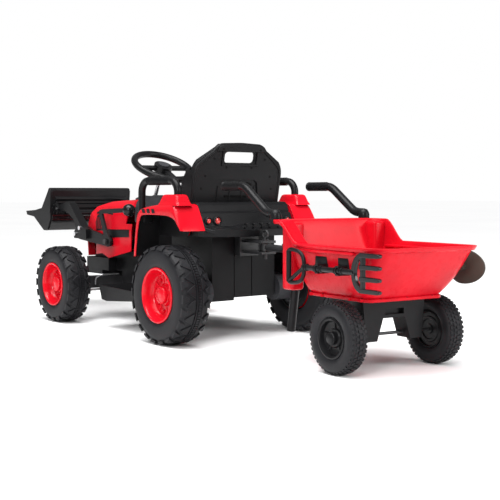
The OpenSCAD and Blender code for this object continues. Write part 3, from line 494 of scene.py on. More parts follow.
def build_tractor_rim(body, nodes, centre, side, width, rim):
    name = body + "_rim"
    h = width / 2
    bm = bmesh.new()
    add_turned(bm, [
        (rim - 3.5, -h + 6), (rim - 3.5, h - 9), (rim + 0.5, h - 6.5), (rim + 1.8, h - 4), (rim + 1.2, h - 2.2),
        (rim - 1.2, h - 1.2), (rim - 4.5, h - 2.5), (rim - 6.2, h - 6), (rim - 8.5, h - 18), (rim - 12, h - 29),
        (rim - 15, h - 32.5), (rim - 20, h - 33.5), (33, h - 33.5), (30, h - 31.5), (27, h - 25), (24.5, h - 23.5),
        (15, h - 23.5)], centre, side, 72)
    show(bm, name, "rim_red", body, "moulded_red", nodes[:1], angle=32)
    # Back of the wheel
    bm = bmesh.new()
    add_turned(bm, [
        (rim - 3.6, -h + 7), (rim - 5, -h + 4), (rim - 9, -h + 3), (rim - 11, -h + 9), (rim - 26, -h + 10),
        (rim - 28, -h + 13), (34, -h + 13), (32, -h + 9), (22, -h + 9), (20, -h + 13), (9, -h + 13)], centre, side, 48)
    show(bm, name + "_back", "black", body, "moulded_red", angle=32)
    # Ring of bosses on the dish, and the raised ribs between them
    bm = bmesh.new()
    face = side * (h - 33.5)
    out = Vector((0, side, 0))
    bosses = 8
    for i in range(bosses):
        a = math.tau * i / bosses + 0.2
        at = on_wheel(centre, (rim - 20 + 33) / 2 + 2, a, face)
        add_rod(bm, at - out * 2, at + out * 4.0, 6.4, 20, 5.6)
        add_rod(bm, at + out * 3.5, at + out * 6.5, 3.4, 6)
        b = a + math.pi / bosses
        add_rod(bm, on_wheel(centre, 34, b, face), on_wheel(centre, rim - 16, b, face), 2.6, 10)
    show(bm, name + "_bosses", "rim_red", body, "moulded_red", bevel=0.5, segments=1)
    # Hub cap
    bm = bmesh.new()
    add_turned(bm, [(24.5, h - 23.4), (24.5, h - 17), (22.5, h - 14.5), (19.5, h - 14), (18, h - 15.5),
                    (14, h - 14.2), (8, h - 13.2), (0, h - 12.8)], centre, side, 40)
    show(bm, name + "_cap", "rim_red", body, "moulded_red", nodes[1:])


def build_tractor_wheels(look):
    for end, x, radius, width, rim, lugs in TRACTOR_WHEELS:
        for hand, side in HANDS:
            body = f"{end}_wheel_{hand}"
            centre = (x, side * TRACK, radius)
            build_tractor_tyre(body, f"{end}_tyre_{hand}", centre, side, width, rim, lugs, look.lug_height * 1000)
            build_tractor_rim(body, [f"{end}_rim_{hand}", f"{end}_cap_{hand}"], centre, side, width, rim)


def build_cart_wheels():
    radius, rim, h = CART_WHEEL_RADIUS, CART_RIM, 25
    for hand, side in HANDS:
        body = "cart_wheel_" + hand
        centre = (CART_WHEEL_X, side * CART_WHEEL_Y, radius)
        bm = bmesh.new()
        add_turned(bm, mirrored([
            (rim, -h + 8), (rim + 4, -h + 3), (rim + 12, -h + 0.6), (radius - 18, -h), (radius - 9, -h + 3),
            (radius - 4.5, -h + 9), (radius - 2.6, -10), (radius - 2.2, 0)]), centre, side, 72)
        show(bm, body + "_tyre", "tyre", body, "tyre_black", ["cart_tyre_" + hand], angle=50)
        # Five rows of small blocks, every other row half a block on
        bm = bmesh.new()
        count = 44
        w = 0.32 * 360 / count
        rows = ((-21, -14, 4.2), (-12.5, -6, 1.0), (-4.5, 4.5, 0.0), (6, 12.5, 1.0), (14, 21, 4.2))
        for row, (lo, hi, drop) in enumerate(rows):
            for i in range(count):
                a = math.tau * (i + 0.5 * (row % 2)) / count
                add_lug(bm, centre, radius - drop, (3.4, h, 0.0), a, [(-w, lo), (w, lo), (w, hi), (-w, hi)], side)
        show(bm, body + "_tread", "tyre", body, "tyre_black", angle=60)
        bm = bmesh.new()
        add_turned(bm, [
            (4.2, -19), (12, -19), (13, -15), (24, -15), (26, -18), (31, -18), (33, -15), (rim - 6, -15),
            (rim - 4, -h + 5), (rim, -h + 6), (rim, h - 8), (rim + 2.5, h - 5), (rim + 2, h - 2.5),
            (rim - 1.5, h - 1.5),
            (rim - 5, h - 4), (rim - 8, h - 14), (34, h - 17), (24, h - 17.5), (22, h - 13), (20, h - 11.5),
            (16, h - 11.5), (15, h - 3), (13, h - 1), (4.2, h - 1)], centre, side, 56)
        cap = [(12.5, h - 1.4), (12.3, h + 0.4), (10, h + 2.2), (5, h + 3.0), (0.01, h + 3.2)]
        add_turned(bm, cap, centre, side, 40)
        for i in range(5):
            a = math.tau * i / 5 + 0.3
            add_rod(bm, on_wheel(centre, 20, a, side * 8), on_wheel(centre, 39, a, side * 9), 2.6, 10)
        show(bm, body + "_hub", "satin", body, replaces=["cart_hub_" + hand], angle=32)


# ---- cart tub


def between(pairs, at):
    """Reads a value off a line through (place, value) pairs."""
    if at <= pairs[0][0]:
        return pairs[0][1]
    for (a, low), (b, high) in zip(pairs, pairs[1:]):
        if at <= b:
            return low + (high - low) * (at - a) / (b - a)
    return pairs[-1][1]


def tub_plan(x0, x1, half, radius):
    """The tub in plan, with enough points along its sides to follow the rim's step."""
    corner_steps, long_parts, short_parts = 7, 34, 6
    corners = rounded_loop(x0, x1, half, radius, corner_steps)
    points = []
    for i, (x, y) in enumerate(corners):
        points.append((x, y))
        if i % (corner_steps + 1) == corner_steps:
            after = corners[(i + 1) % len(corners)]
            parts = long_parts if y * after[1] > 0 else short_parts
            points += [(x + (after[0] - x) * n / parts, y + (after[1] - y) * n / parts) for n in range(1, parts)]
    return points


def tub_rim_height(x):
    step = min(1.0, max(0.0, (x + 408) / 62))
    return TUB_LOW_RIM + (TUB_HIGH_RIM - TUB_LOW_RIM) * step * step * (3 - 2 * step)


def tub_loop(level, out=0.0, forward=0.0):
    """One loop of the tub: level is a height in mm, a share of the wall (0 to 1), or mm below the rim (negative)."""
    loop = []
    for i, (x, y) in enumerate(tub_plan(-685, -300, 155, 42)):
        rim = tub_rim_height(x)
        z = rim + level if level <= 0 else (TUB_FLOOR + (rim - TUB_FLOOR) * level if level < 1 else level)
        back = between(((178, -593), (236, -640), (301, -685)), z) - out
        front = between(((178, -362), (301, -310), (357, -300)), z) + out + forward
        half = between(((178, 113), (192, 126), (222, 139), (262, 148), (301, 153), (357, 155)), z) + out
        corner = between(((178, 24), (301, 40)), z) + max(out, -6)
        loop.append((*tub_plan(back, front, half, corner)[i], z))
    return loop


def build_tub():
    bm = bmesh.new()
    outside = [tub_loop(level) for level in (TUB_FLOOR, 0.06, 0.16, 0.36, 0.62, 0.85, -11.0)]
    lip = [tub_loop(*loop) for loop in (
        (-11.0, 5.5, 49), (-9.5, 7, 50), (-2.2, 7, 50), (-0.6, 6.2, 49.5), (0, 4.5, 49), (0, -1.5))]
    inside = [tub_loop(*loop) for loop in (
        (-0.8, -3), (-3, -4), (0.85, -4), (0.62, -4), (0.36, -4), (0.16, -4), (0.08, -6), (183, -14))]
    add_loft(bm, outside + lip + inside)
    show(bm, "cart_tub", "tub_red", "cart", "moulded_red", ["tub"], angle=48)
    # Flange round the foot, its screw bosses, the ledge under each low rim and the corner posts inside
    bm = bmesh.new()
    add_loft(bm, [[(x, y, z) for x, y in tub_plan(-599 - o, -356 + o, 118 + o, 22)]
                  for z, o in ((172, -1), (173, 0), (178.5, 0), (180, -1.5), (181, -6))])
    for side in (-1, 1):
        for x in TUB_SCREWS_X:
            add_rod(bm, (x, side * TUB_SCREW_Y, 172.5), (x, side * TUB_SCREW_Y, 180), 5.5, 20, 4.6)
        add_block(bm, (-424, side * 148 - 10, 283), (-352, side * 148 + 10, 290), 2.0)
    for side in (1, -1):
        add_block(bm, (-590, side * 140, 281.5), (-414, side * 158, 289.5), 2.4, 3)
    for side in (-1, 1):
        add_block(bm, (-344, side * 112, 182), (-298, side * 151, 351), 8, 3)
    for x in (-440, -480, -520):
        add_block(bm, (x - 4, -104, 181), (x + 4, 104, 185.5), 1.6)
    show(bm, "cart_tub_details", "tub_red", "cart", "moulded_red")
    # Black blocks in the side pockets are painted shade seen through their openings; dark screw heads sit in the
    # flange
    bm = bmesh.new()
    for side in (-1, 1):
        for x0, x1 in ((-483, -436), (-564, -524)):
            add_block(bm, (x0, side * 140.0, 248), (x1, side * 149.6, 275), 2.5, 3)
        for x in TUB_SCREWS_X:
            add_rod(bm, (x, side * TUB_SCREW_Y, 171.9), (x, side * TUB_SCREW_Y, 180.6), 2.6, 6)
    for y in (-80, 0, 80):
        add_rod(bm, (-596, y, 171.9), (-596, y, 180.4), 2.6, 6)
    show(bm, "cart_tub_pockets", "satin", "cart")


# ---- hand tools


def arc(radius_x, radius_z):
    """Half an oval round the fork's head, from its foot to its top."""
    turns = [math.radians(-90 + 180 * i / 14) for i in range(15)]
    return [(-640 + radius_x * math.cos(a), TOOL_Z + radius_z * math.sin(a)) for a in turns]


def build_tools():
    for name, side, body, tail in (("garden_fork", 1, "fork", -612), ("shovel_shaft", -1, "shovel", -586)):
        y = side * TOOL_Y
        half_ring = [(-420, 246), (-420, 262), (-412, 276), (-396, 284), (-366, 287), (-357, 284)]
        # The upper half of the grip runs on as a slanting brace to the cross bar's foot
        upper = [(x, y, z) for x, z in reversed(half_ring)] + [(-357, y, 208)]
        lower = [(x, y, 2 * TOOL_Z - z) for x, z in half_ring]
        bm = bmesh.new()
        add_tube(bm, upper, 5, ON_CART)
        add_tube(bm, lower, 5, ON_CART)
        shown(name + "_loop", to_mesh(bm, name + "_loop"), "satin", body, replaces=[name], angle=60)
        bm = bmesh.new()
        add_rod(bm, (-416, y, TOOL_Z), (tail, y, TOOL_Z), 6.6, 28)
        add_rod(bm, (-357, y, 208), (-357, y, 284), 6.4, 28)
        for x in (-424, -432, -465, -472, -484, -491, -543, -550, -562, -569):
            add_turned_x(bm, bead(6, 8.4, 8.9, 2.6, 2.0), (x, y, TOOL_Z))
        if side < 0:
            add_turned_x(bm, bead(6, 10.4, 11, 8, 7), (-577, y, TOOL_Z))
        show(bm, name + "_shaft", "satin", body)
    # The fork's bowed head, and four tines that end round
    bm = bmesh.new()
    y = TOOL_Y
    add_slab(bm, arc(36, 45) + list(reversed(arc(23, 32))), y - 5, y + 5)
    add_block(bm, (-646, y - 5, 206), (-636, y + 5, 286))
    for i in range(4):
        z = 206.5 + i * 26.4
        tine = [(-632, -5.6), (-632, 5.6), (-692, 5.2), (-699, 3.8), (-702, 0), (-699, -3.8), (-692, -5.2)]
        add_slab(bm, [(x, z + up) for x, up in tine], y - 5.4, y + 5.4)
    show(bm, "garden_fork_head", "gloss", "fork", bevel=1.8, segments=3)
    # Dished oval blade, longer towards its tip
    bm = bmesh.new()
    rings = []
    for share, dish in ((1.0, 0.0), (0.97, -0.8), (0.8, -3.0), (0.55, -5.2), (0.28, -6.4), (0.08, -6.8)):
        loop = []
        for i in range(40):
            a = math.tau * i / 40
            reach = 76 if math.cos(a) < 0 else 48
            loop.append((-592 + share * reach * math.cos(a), -183 - dish, 245 + share * 43 * math.sin(a)))
        rings.append(loop)
    add_loft(bm, rings, False)
    show(bm, "shovel_blade_dish", "blade", "shovel", "moulded_brown", ["shovel_blade"], wall=3.0, angle=60)
    bm = bmesh.new()
    add_block(bm, (-612, -184, 238), (-578, -164, 252), 4, 3)
    show(bm, "shovel_socket", "blade", "shovel", "moulded_brown")


# ---- seat and tail


def build_seat_details():
    back = ON_TRACTOR @ Matrix.Translation((34, 0, 399)) @ Matrix.Rotation(math.radians(-11), 4, "Y")
    edge = [(-9, y, z) for y, z in (
        (155, 2), (155, 84), (150, 104), (118, 131), (92, 149), (84, 160), (70, 167), (0, 170))]
    edge += [(x, -y, z) for x, y, z in reversed(edge[:-1])]
    mesh = tube_mesh("seat_back_border", edge, 6, back, 14)
    shown("seat_back_border", mesh, "black", angle=60)
    # Crown bar over the carrying hole, and the frame round the hole
    bm = bmesh.new()
    add_slab(bm, [(-88, 150), (88, 150), (80, 165), (66, 170), (0, 172), (-66, 170), (-80, 165)], -19, 3, "X")
    outer = [bm.verts.new((-15.5, y, z)) for y, z in ((-66, 107), (66, 107), (66, 153), (-66, 153))]
    inner = [bm.verts.new((-15.5, y, z)) for y, z in ((-58, 114), (58, 114), (58, 149), (-58, 149))]
    for i in range(4):
        face = bm.faces.new((outer[i], outer[(i + 1) % 4], inner[(i + 1) % 4], inner[i]))
        grown = bmesh.ops.extrude_face_region(bm, geom=[face])
        verts = [v for v in grown["geom"] if isinstance(v, bmesh.types.BMVert)]
        bmesh.ops.translate(bm, verts=verts, vec=(4.5, 0, 0))
    show(bm, "seat_back_crown", "black", place=back, bevel=3.2, segments=3)
    # Screw holes and the two slots
    bm = bmesh.new()
    for side in (-1, 1):
        for y, z in ((67, 157), (92, 128), (46, 103), (118, 77), (128, 40)):
            add_turned_x(bm, [(0.01, -0.7), (3.2, -0.6), (3.6, 0.4)], (-12 if z < 150 else -19, side * y, z), 20)
    add_block(bm, (-12.9, -52, 50), (-11, 52, 57), 0.6)
    add_block(bm, (-9.5, -40, 14), (-6.5, 40, 20), 0.6)
    show(bm, "seat_back_holes", "pit", place=back)
    # Upright ribs on the back panel, and the side bolsters in front
    bm = bmesh.new()
    for y in (-66, -22, 22, 66):
        add_block(bm, (-9.6, y - 2, 2), (-6.8, y + 2, 48), 1.0)
    for side in (-1, 1):
        add_slab(bm, [(8, 0), (44, 0), (50, 18), (40, 60), (24, 88), (8, 98)], side * 124, side * 160)
    show(bm, "seat_back_bolsters", "black", place=back, bevel=7, segments=4, angle=50)


def on_lamps(name, finish, profiles, **more):
    """Turns the profiles for a lamp's radius at each of the four lamps."""
    bm = bmesh.new()
    for side in (-1, 1):
        for y, r in LAMPS:
            for profile in profiles(r):
                add_turned_x(bm, profile, (LAMP_X, side * y, LAMP_Z), 32)
    show(bm, name, finish, **more)


def build_tail_details():
    # Stepped chamfer bands along the deck, and the bumper's lip with its raised middle
    bm = bmesh.new()
    for band in ([(-21.5, 388), (-18, 396.3), (-12, 398), (60, 398), (60, 395), (-12, 395), (-20, 386)],
                 [(-34.6, 363), (-30, 371.6), (-26, 372), (-26, 368), (-31, 360)]):
        add_slab(bm, band, -BAND_HALF, BAND_HALF)
    show(bm, "deck_edges", "satin", bevel=1.6, segments=3)
    bm = bmesh.new()
    rows = [(-165, -55, 329), (-150, -66, 322), (-112, -90, 314), (-86, -91, 328), (-60, -93, 333)]
    rows += [(-y, x, z) for y, x, z in reversed(rows)]
    section = ((14, 2.5), (0, 0), (-3, -4), (-2, -12), (10, -13))
    add_loft(bm, [[(x + on, y, z + up) for on, up in section] for y, x, z in rows])
    for y in (-40, -14, 14, 40):
        add_block(bm, (-98.6, y - 9, 324), (-84, y + 9, 338.5), 1.8)
    show(bm, "bumper_lip", "satin", bevel=1.8, segments=3)
    on_lamps("lamp_bezels", "satin", lambda r: [
        [(r + 3.2, 6), (r + 3.2, -1.5), (r + 1.6, -3), (r - 0.6, -2.2), (r - 0.8, 0)]], angle=35)
    on_lamps("lamp_lenses", "lamp", lambda r: [
        [(0.01, -1.8), (r * 0.4, -1.6), (r * 0.75, -0.9), (r - 0.4, 0.6), (r - 0.2, 6)],
        *([(r * ring - 0.8, -0.9), (r * ring, -2.1), (r * ring + 0.8, -0.9)] for ring in (0.45, 0.72)),
    ], slot="lamp_red", replaces=["tail_lights"], angle=50)


# ---- fenders and hood


# Pairs of (x, z) from the tail forward and up: on the crown, and on the skirt's lower edge beside it
FENDER_CROWN = (
    ((189, 239), (173, 239)), ((187, 262), (170, 262)), ((180, 306), (163, 306)), ((174.5, 342), (156, 334)),
    ((171, 358), (150, 346)), ((166, 369), (146, 354)), ((156, 377), (140, 359)), ((140, 382), (128, 361)),
    ((100, 387.5), (96, 362)), ((60, 392), (60, 362)), ((10, 393), (14, 361)), ((-12, 392.5), (0, 360)),
    ((-24, 389), (-14, 357)), ((-31, 381), (-24, 354)), ((-42, 361), (-36, 349)), ((-54, 338), (-48, 336)),
    ((-63, 319), (-58, 327)))
# Distance from the middle of the tractor, and the share of the way down from the crown to the edge
FENDER_SECTION = (
    (168, 0.0), (196, 0.0), (228, 0.0), (239, 0.02), (246, 0.12), (250.4, 0.30), (251.8, 0.52), (252, 1.0))


def build_fender_details():
    for hand, side in HANDS:
        name = f"fender_{hand}_"
        # Black sheets under the red skin and on the wheel side of its inner wall are painted shade in the wheel arch
        bm = bmesh.new()
        under = [(184, 240), (168, 354), (152, 371), (58, 387.4), (-20, 387.4), (-57, 318), (-55.6, 318),
                 (-18.8, 386.2), (57, 386.2), (151, 369.6), (162, 352), (176, 240)]
        add_slab(bm, under, side * 172.6, side * 246.5)
        wall = [(167, 298), (168, 354), (152, 371), (58, 387), (-20, 387), (-49, 343), (-20, 343), (20, 298)]
        add_slab(bm, wall, side * 171.2, side * 173.4)
        show(bm, name + "liner", "black", slot="moulded_red")
        # Rounded skin
        bm = bmesh.new()
        chains = []
        for high, low in FENDER_CROWN:
            high, low = Vector((high[0], 0, high[1])), Vector((low[0], 0, low[1]))
            verts = [bm.verts.new(high + (low - high) * share + Vector((0, side * y, 0)))
                     for y, share in FENDER_SECTION]
            chains.append(joined(bm, verts, False))
        bridge(bm, chains)
        mesh = as_mesh(bm, name + "skin", ON_TRACTOR)
        if sum(polygon.normal.z * polygon.area for polygon in mesh.polygons) < 0:
            mesh.flip_normals()
        shown(name + "skin", mesh, "red", slot="moulded_red", replaces=[f"fender_{hand}"], wall=3.2, angle=50)
        # Raised, tapered pad over the wheel, and the inner wall
        bm = bmesh.new()
        rings = []
        for z, grow in ((388, 7), (393.5, 5.5), (396, 3.5), (400, 2.2),
                        (412, -1.5), (416.5, -3.2), (419, -6.5), (419.6, -10)):
            loop = rounded_loop(-27 - grow * 1.5, 56 + grow * 1.6, 23 + grow * 0.7, 9)
            rings.append([(x, side * 217 + y, z) for x, y in loop])
        add_loft(bm, rings, False)
        show(bm, name + "pad", "red", slot="moulded_red", angle=50)
        bm = bmesh.new()
        wall = [(168, 300), (170, 356), (154, 377), (60, 390), (-24, 389), (-50, 345), (-20, 345), (20, 300)]
        add_slab(bm, wall, side * 168.0, side * 171.0)
        show(bm, name + "wall", "red", slot="moulded_red", bevel=1.0, angle=50)
        bm = bmesh.new()
        add_block(bm, (158, side * 196, 336), (212, side * 232, 369), 6, 3)
        add_block(bm, (176, side * 200, 300), (206, side * 228, 340), 5, 3)
        show(bm, name + "rail_foot", "black", slot="moulded_red", angle=50)
        # Plain stripes on the outside face
        bm = bmesh.new()
        for x in (132, 106, 80):
            stripe = [(x, 366.5), (x - 15, 366.5), (x - 10, 378.5), (x + 5, 378.5)]
            add_slab(bm, stripe, side * 251.6, side * 252.5)
        show(bm, name + "stripes", "satin")


def on_hood_side(outlines, side, depth, proud, name, finish, slot="moulded_red"):
    """Flat outlines in (x, z) laid on the hood's side, which leans in above z 300 and tapers past x 640."""
    bm = bmesh.new()
    for outline in outlines:
        add_slab(bm, outline, -depth, proud)
    cuts = [((x, 0, 0), (1, 0, 0)) for x in range(620, 680, 5)]
    cuts += [((0, 0, z), (0, 0, 1)) for z in range(300, 375, 5)]
    for at, normal in cuts:
        bmesh.ops.bisect_plane(bm, geom=bm.verts[:] + bm.edges[:] + bm.faces[:], plane_co=at, plane_no=normal)
    for vert in bm.verts:
        x, out, z = vert.co
        face = min(HOOD_HALF, HOOD_HALF - (x - 640) * 0.1404, HOOD_HALF - (z - 300) * 0.1667)
        vert.co.y = side * (face + out)
    show(bm, name, finish, slot=slot)


def build_hood_details():
    for hand, side in reversed(HANDS):
        trims = [[(444, 282), (444, 306), (600, 303), (612, 296), (612, 276), (600, 274)],
                 [(616, 298), (616, 334), (634, 352), (664, 350), (670, 322), (666, 298)],
                 [(560, 352), (566, 360), (640, 366), (668, 360), (668, 352), (640, 358)]]
        on_hood_side(trims, side, 2.0, 1.2, f"hood_trim_{hand}", "satin")
        slat = ((622, 303), (627.5, 303), (630.5, 342), (625, 342))
        slats = [[(x + 11 * i, z) for x, z in slat] for i in range(4)]
        on_hood_side(slats, side, 1.0, 2.0, f"hood_louvres_{hand}", "louvre")
        # A plain mark of three bars on the stripe
        marks = [[(x, 284), (x - 9, 284), (x - 5, 284 + tall), (x + 4, 284 + tall)]
                 for x, tall in ((560, 19), (536, 14), (512, 9))]
        on_hood_side(marks, side, 1.0, 1.1, f"hood_mark_{hand}", "pale", "moulded_grey")


def build_bucket_details():
    bm = bmesh.new()
    top_rail = [(898.5, 425), (899, 439), (905, 442.5), (917, 442), (924, 436), (926, 428), (914, 424)]
    add_slab(bm, top_rail, -159.8, 159.8)
    for side in (-1, 1):
        side_rail = [(903, 441), (897, 430), (905.5, 352), (912, 352), (906, 428), (914, 441)]
        add_slab(bm, side_rail, side * 154, side * 163)
    for rib in ([(905, 350), (900.8, 352), (900.6, 357), (904.6, 359)],
                [(904, 376), (900, 378), (900, 383), (903.6, 385)]):
        add_slab(bm, rib, -150, 150)
    show(bm, "bucket_rails", "satin", "bucket", bevel=2.2, segments=3)
    bm = bmesh.new()
    add_rod(bm, (ROLL_X, -ROLL_HALF, ROLL_Z), (ROLL_X, ROLL_HALF, ROLL_Z), ROLL_RADIUS, 32)
    for side in (-1, 1):
        place = Matrix.Translation((ROLL_X, side * ROLL_HALF, ROLL_Z)) @ Matrix.Diagonal((1, 0.35, 1, 1))
        bmesh.ops.create_uvsphere(bm, u_segments=24, v_segments=14, radius=ROLL_RADIUS, matrix=place)
    show(bm, "bucket_roll", "satin", "bucket", angle=50)
    bm = bmesh.new()
    heel = [(906.3, 346), (906.5, 330), (913, 317), (931, 290.8), (960, 288.6), (1000, 312), (1000, 313.4),
            (960, 290.4), (932, 292.4), (914.6, 318), (908.3, 330.5), (908, 346)]
    add_slab(bm, heel, -153, 153)
    show(bm, "bucket_heel", "mirror_black", "bucket", bevel=0.5, angle=60)


def build_front_details():
    bm = bmesh.new()
    sleeve = [(0.01, 40), (12, 40), (17, 41), (17, 58), (15.5, 60), (15.5, 66), (18, 68), (18, 78), (14, 80),
              (0.01, 80)]
    for side in (-1, 1):
        add_turned(bm, sleeve, (WHEELBASE, side * 92, 125), side, 40)
    show(bm, "axle_sleeves", "zinc", slot="zinc_steel")
    bm = bmesh.new()
    for side in (-1, 1):
        path = [(600, side * 60, 152), (600, side * 128, 152), (618, side * 140, 140), (618, side * 140, 118)]
        add_tube(bm, path, 2.2, ON_TRACTOR, 8, 4, 4)
    shown("steering_rods", to_mesh(bm, "steering_rods"), "zinc", slot="zinc_steel", angle=60)


def build_grips(look):
    bm = bmesh.new()
    count = look.grip_rings
    for side in (-1, 1):
        for i in range(count):
            at = (44 + 112 * i / (count - 1), side * RAIL_Y, RAIL_Z)
            add_turned_x(bm, bead(10.6, 12.4, 12.8, 1.7, 1.1), at, 28)
    show(bm, "rail_grips", "black")
    # The cart's bent handle bars, with a foot cup and an end ring on each
    bm = bmesh.new()
    for side in (-1, 1):
        path = [(x, side * HANDLE_Y, z) for x, z in ((-262, 371), (-224, 372), (-116, HANDLE_Z), (-12, HANDLE_Z))]
        add_tube(bm, path, 11.8, ON_CART, 20)
    bmesh.ops.transform(bm, matrix=ON_CART.inverted(), verts=bm.verts)
    for side in (-1, 1):
        cup = [(15, 355), (15, 366), (13.5, 372), (9, 380), (0.01, 383)]
        add_turned(bm, cup, (-262, side * HANDLE_Y, 0), 1, 36, "Z")
        add_turned_x(bm, [(11.4, 2), (13.0, 1), (13.2, -2), (11.4, -4)], (-14, side * HANDLE_Y, HANDLE_Z), 28)
    show(bm, "cart_handle_bars", "satin", "cart", replaces=["cart_handles"], angle=50)
    bm = bmesh.new()
    for side in (-1, 1):
        for i in range(16):
            add_turned_x(bm, bead(11.4, 12.6, 12.9, 1.6, 1.0), (-96 + 5.0 * i, side * HANDLE_Y, HANDLE_Z), 28)
    show(bm, "handle_grips", "black", "cart")


# ---- shells and frames


def build_plain_parts(look):
    # Node, finish, slot, and its rounding as a multiple of the look's edge
    for node, finish, slot, times in (
        ("chassis", "black", "moulded_black", 1), ("seat", "black", "moulded_black", 4),
        ("rear_deck", "black", "moulded_black", 2), ("rear_bumper", "satin", "moulded_black", 1.5),
        ("footrests", "black", "moulded_black", 1.4), ("drive_pedal", "grey", "moulded_grey", 1),
        ("front_axle_beam", "paint", "painted_black", 1), ("tow_bracket", "paint", "painted_black", 1),
        ("dash", "grey", "moulded_grey", 2), ("grille", "louvre", "moulded_red", 0.8),
        ("loader_lever", "satin", "moulded_black", 1.4), ("undercarriage", "satin", "painted_black", 2),
        ("tool_clips", "satin", "moulded_black", 0.6), ("hood", "red", "moulded_red", 4),
        ("loader_frame", "satin", "moulded_black", 2), ("bucket", "satin", "moulded_black", 1.4),
        ("seat_back", "black", "moulded_black", 2.4),
    ):
        rounded(node, finish, slot, times * (look.edge * 1000))
    for finish, nodes in (
        ("grey", ("battery", "gearboxes", "horn_button")),
        ("zinc", ("rear_axle", "axle_nuts", "kingpins", "knuckle_left", "knuckle_right", "tie_rod", "steering_shaft")),
        ("paint", ("tow_pin", "loader_pivots", "cart_axle", "drawbar")),
        ("chrome", ("loader_bolts",)),
        ("satin", ("grab_rails", "steering_wheel", "stand_leg")),
        ("gloss", ("lever_knob",)),
    ):
        for node in nodes:
            coat(node, finish)


# ---- stage


def build_stage(look):
    scene = bpy.context.scene
    scene.view_settings.view_transform = "Standard"
    scene.view_settings.look = "None"
    scene.view_settings.exposure = look.exposure
    bm = bmesh.new()
    bmesh.ops.create_grid(bm, x_segments=2, y_segments=2, size=40.0)
    mesh = to_mesh(bm, "studio_floor")
    floor = bpy.data.objects.new("studio_floor", mesh)
    scene.collection.objects.link(floor)
    f = Finish("pale_floor", Roughness=0.12, Specular_IOR_Level=0.0)
    f.colour(f.noise(0.6, 2.0), 0.3, (0.95, 0.95, 0.955), 0.7, (0.98, 0.98, 0.98))
    mesh.materials.append(f.material)

    # The camera sees white all round, and the fill light reaches the object
    world = bpy.data.worlds.new("studio")
    scene.world = world
    world.use_nodes = True
    nodes, links = world.node_tree.nodes, world.node_tree.links
    nodes["Background"].inputs[0].default_value = (1, 1, 1, 1)
    path = nodes.new("ShaderNodeLightPath")
    strength = nodes.new("ShaderNodeMapRange")
    strength.inputs["To Min"].default_value = look.fill_light
    strength.inputs["To Max"].default_value = 1.0
    links.new(path.outputs["Is Camera Ray"], strength.inputs["Value"])
    links.new(strength.outputs[0], nodes["Background"].inputs[1])

    def lamp(name, kind, power, towards):
        light = bpy.data.lights.new(name, kind)
        light.energy = power
        holder = bpy.data.objects.new(name, light)
        holder.rotation_euler = Vector(towards).to_track_quat("-Z", "Y").to_euler()
        scene.collection.objects.link(holder)
        return light, holder

    sun, _ = lamp("soft_daylight", "SUN", look.daylight, (0.25, -0.45, -1.0))
    sun.angle = math.radians(55)
    # Name, place, aim, size, and the share of the key light
    for name, at, aim, size, share in (
        ("overhead", (-0.3, 0.4, 2.4), (-0.1, 0.0, 0.2), (2.4, 1.2), 0.5),
        ("left_rear", (-2.6, 3.0, 1.9), (0.0, 0.0, 0.3), (0.8, 0.8), 0.45),
        ("rear_right", (-3.4, -1.6, 1.5), (-0.2, 0.0, 0.3), (1.0, 1.4), 0.4),
    ):
        light, holder = lamp(name, "AREA", look.key_light * share, Vector(aim) - Vector(at))
        light.shape = "RECTANGLE"
        light.size, light.size_y = size
        holder.location = at

    camera = bpy.data.cameras.new("camera")
    camera.lens = 72.1
    camera.sensor_width = 36.0
    camera.clip_start, camera.clip_end = 0.05, 60
    holder = bpy.data.objects.new("camera", camera)
    holder.location = Vector((-2.348 + AXLE.x, 1.768, 0.424))
    aim = Vector((-0.0492 + AXLE.x, 0.0, 0.2587))
    holder.rotation_euler = (aim - holder.location).to_track_quat("-Z", "Y").to_euler()
    scene.collection.objects.link(holder)
    scene.camera = holder


# ---- add-on


class TractorLook(bpy.types.PropertyGroup):
    """Sizes, colours and light that someone would change."""

    red: FloatVectorProperty(name="Red", description="Colour of the red mouldings", subtype="COLOR",
                             size=3, default=(0.60, 0.004, 0.014), min=0, max=1)
    black: FloatVectorProperty(name="Black", description="Colour of the black mouldings", subtype="COLOR",
                               size=3, default=(0.0065, 0.0065, 0.0072), min=0, max=1)
    tyre: FloatVectorProperty(name="Tyre", description="Colour of the tyres", subtype="COLOR",
                              size=3, default=(0.009, 0.009, 0.0105), min=0, max=1)
    edge: FloatProperty(name="Edge", description="Rounding of a moulded edge", subtype="DISTANCE",
                        default=0.0012, min=0.0002, max=0.004)
    lug_height: FloatProperty(name="Tread", description="Height of a tread block", subtype="DISTANCE",
                              default=0.0048, min=0.002, max=0.012)
    grip_rings: IntProperty(name="Grip rings", description="Ribs on a grab rail's grip", default=22, min=4, max=60)
    exposure: FloatProperty(name="Exposure", description="Brightness of the whole picture",
                            default=0.0, min=-3, max=3)
    fill_light: FloatProperty(name="Fill light", description="Strength of the light from all round",
                              default=0.27, min=0, max=4)
    key_light: FloatProperty(name="Key light", description="Power that the three panels take their shares of",
                             subtype="POWER", default=120.0, min=0, max=2000)
    daylight: FloatProperty(name="Daylight", description="Strength of the broad soft light from above",
                            default=2.6, min=0, max=10)


class PlainParts(bpy.types.Operator):
    """Softens the edges of the moulded shells and gives each remaining part its finish"""

    bl_idname = "ride_tractor.plain_parts"
    bl_label = "Shells and frames"

    def execute(self, context):
        build_plain_parts(context.scene.ride_tractor)
        return {"FINISHED"}


class TractorWheels(bpy.types.Operator):
    """Makes the four lugged tractor tyres, their dished rims and hub caps"""

    bl_idname = "ride_tractor.tractor_wheels"
    bl_label = "Tractor wheels"

    def execute(self, context):
        build_tractor_wheels(context.scene.ride_tractor)
        return {"FINISHED"}


class CartWheels(bpy.types.Operator):
    """Makes the cart's two block-tread wheels"""

    bl_idname = "ride_tractor.cart_wheels"
    bl_label = "Cart wheels"

    def execute(self, context):
        build_cart_wheels()
        return {"FINISHED"}


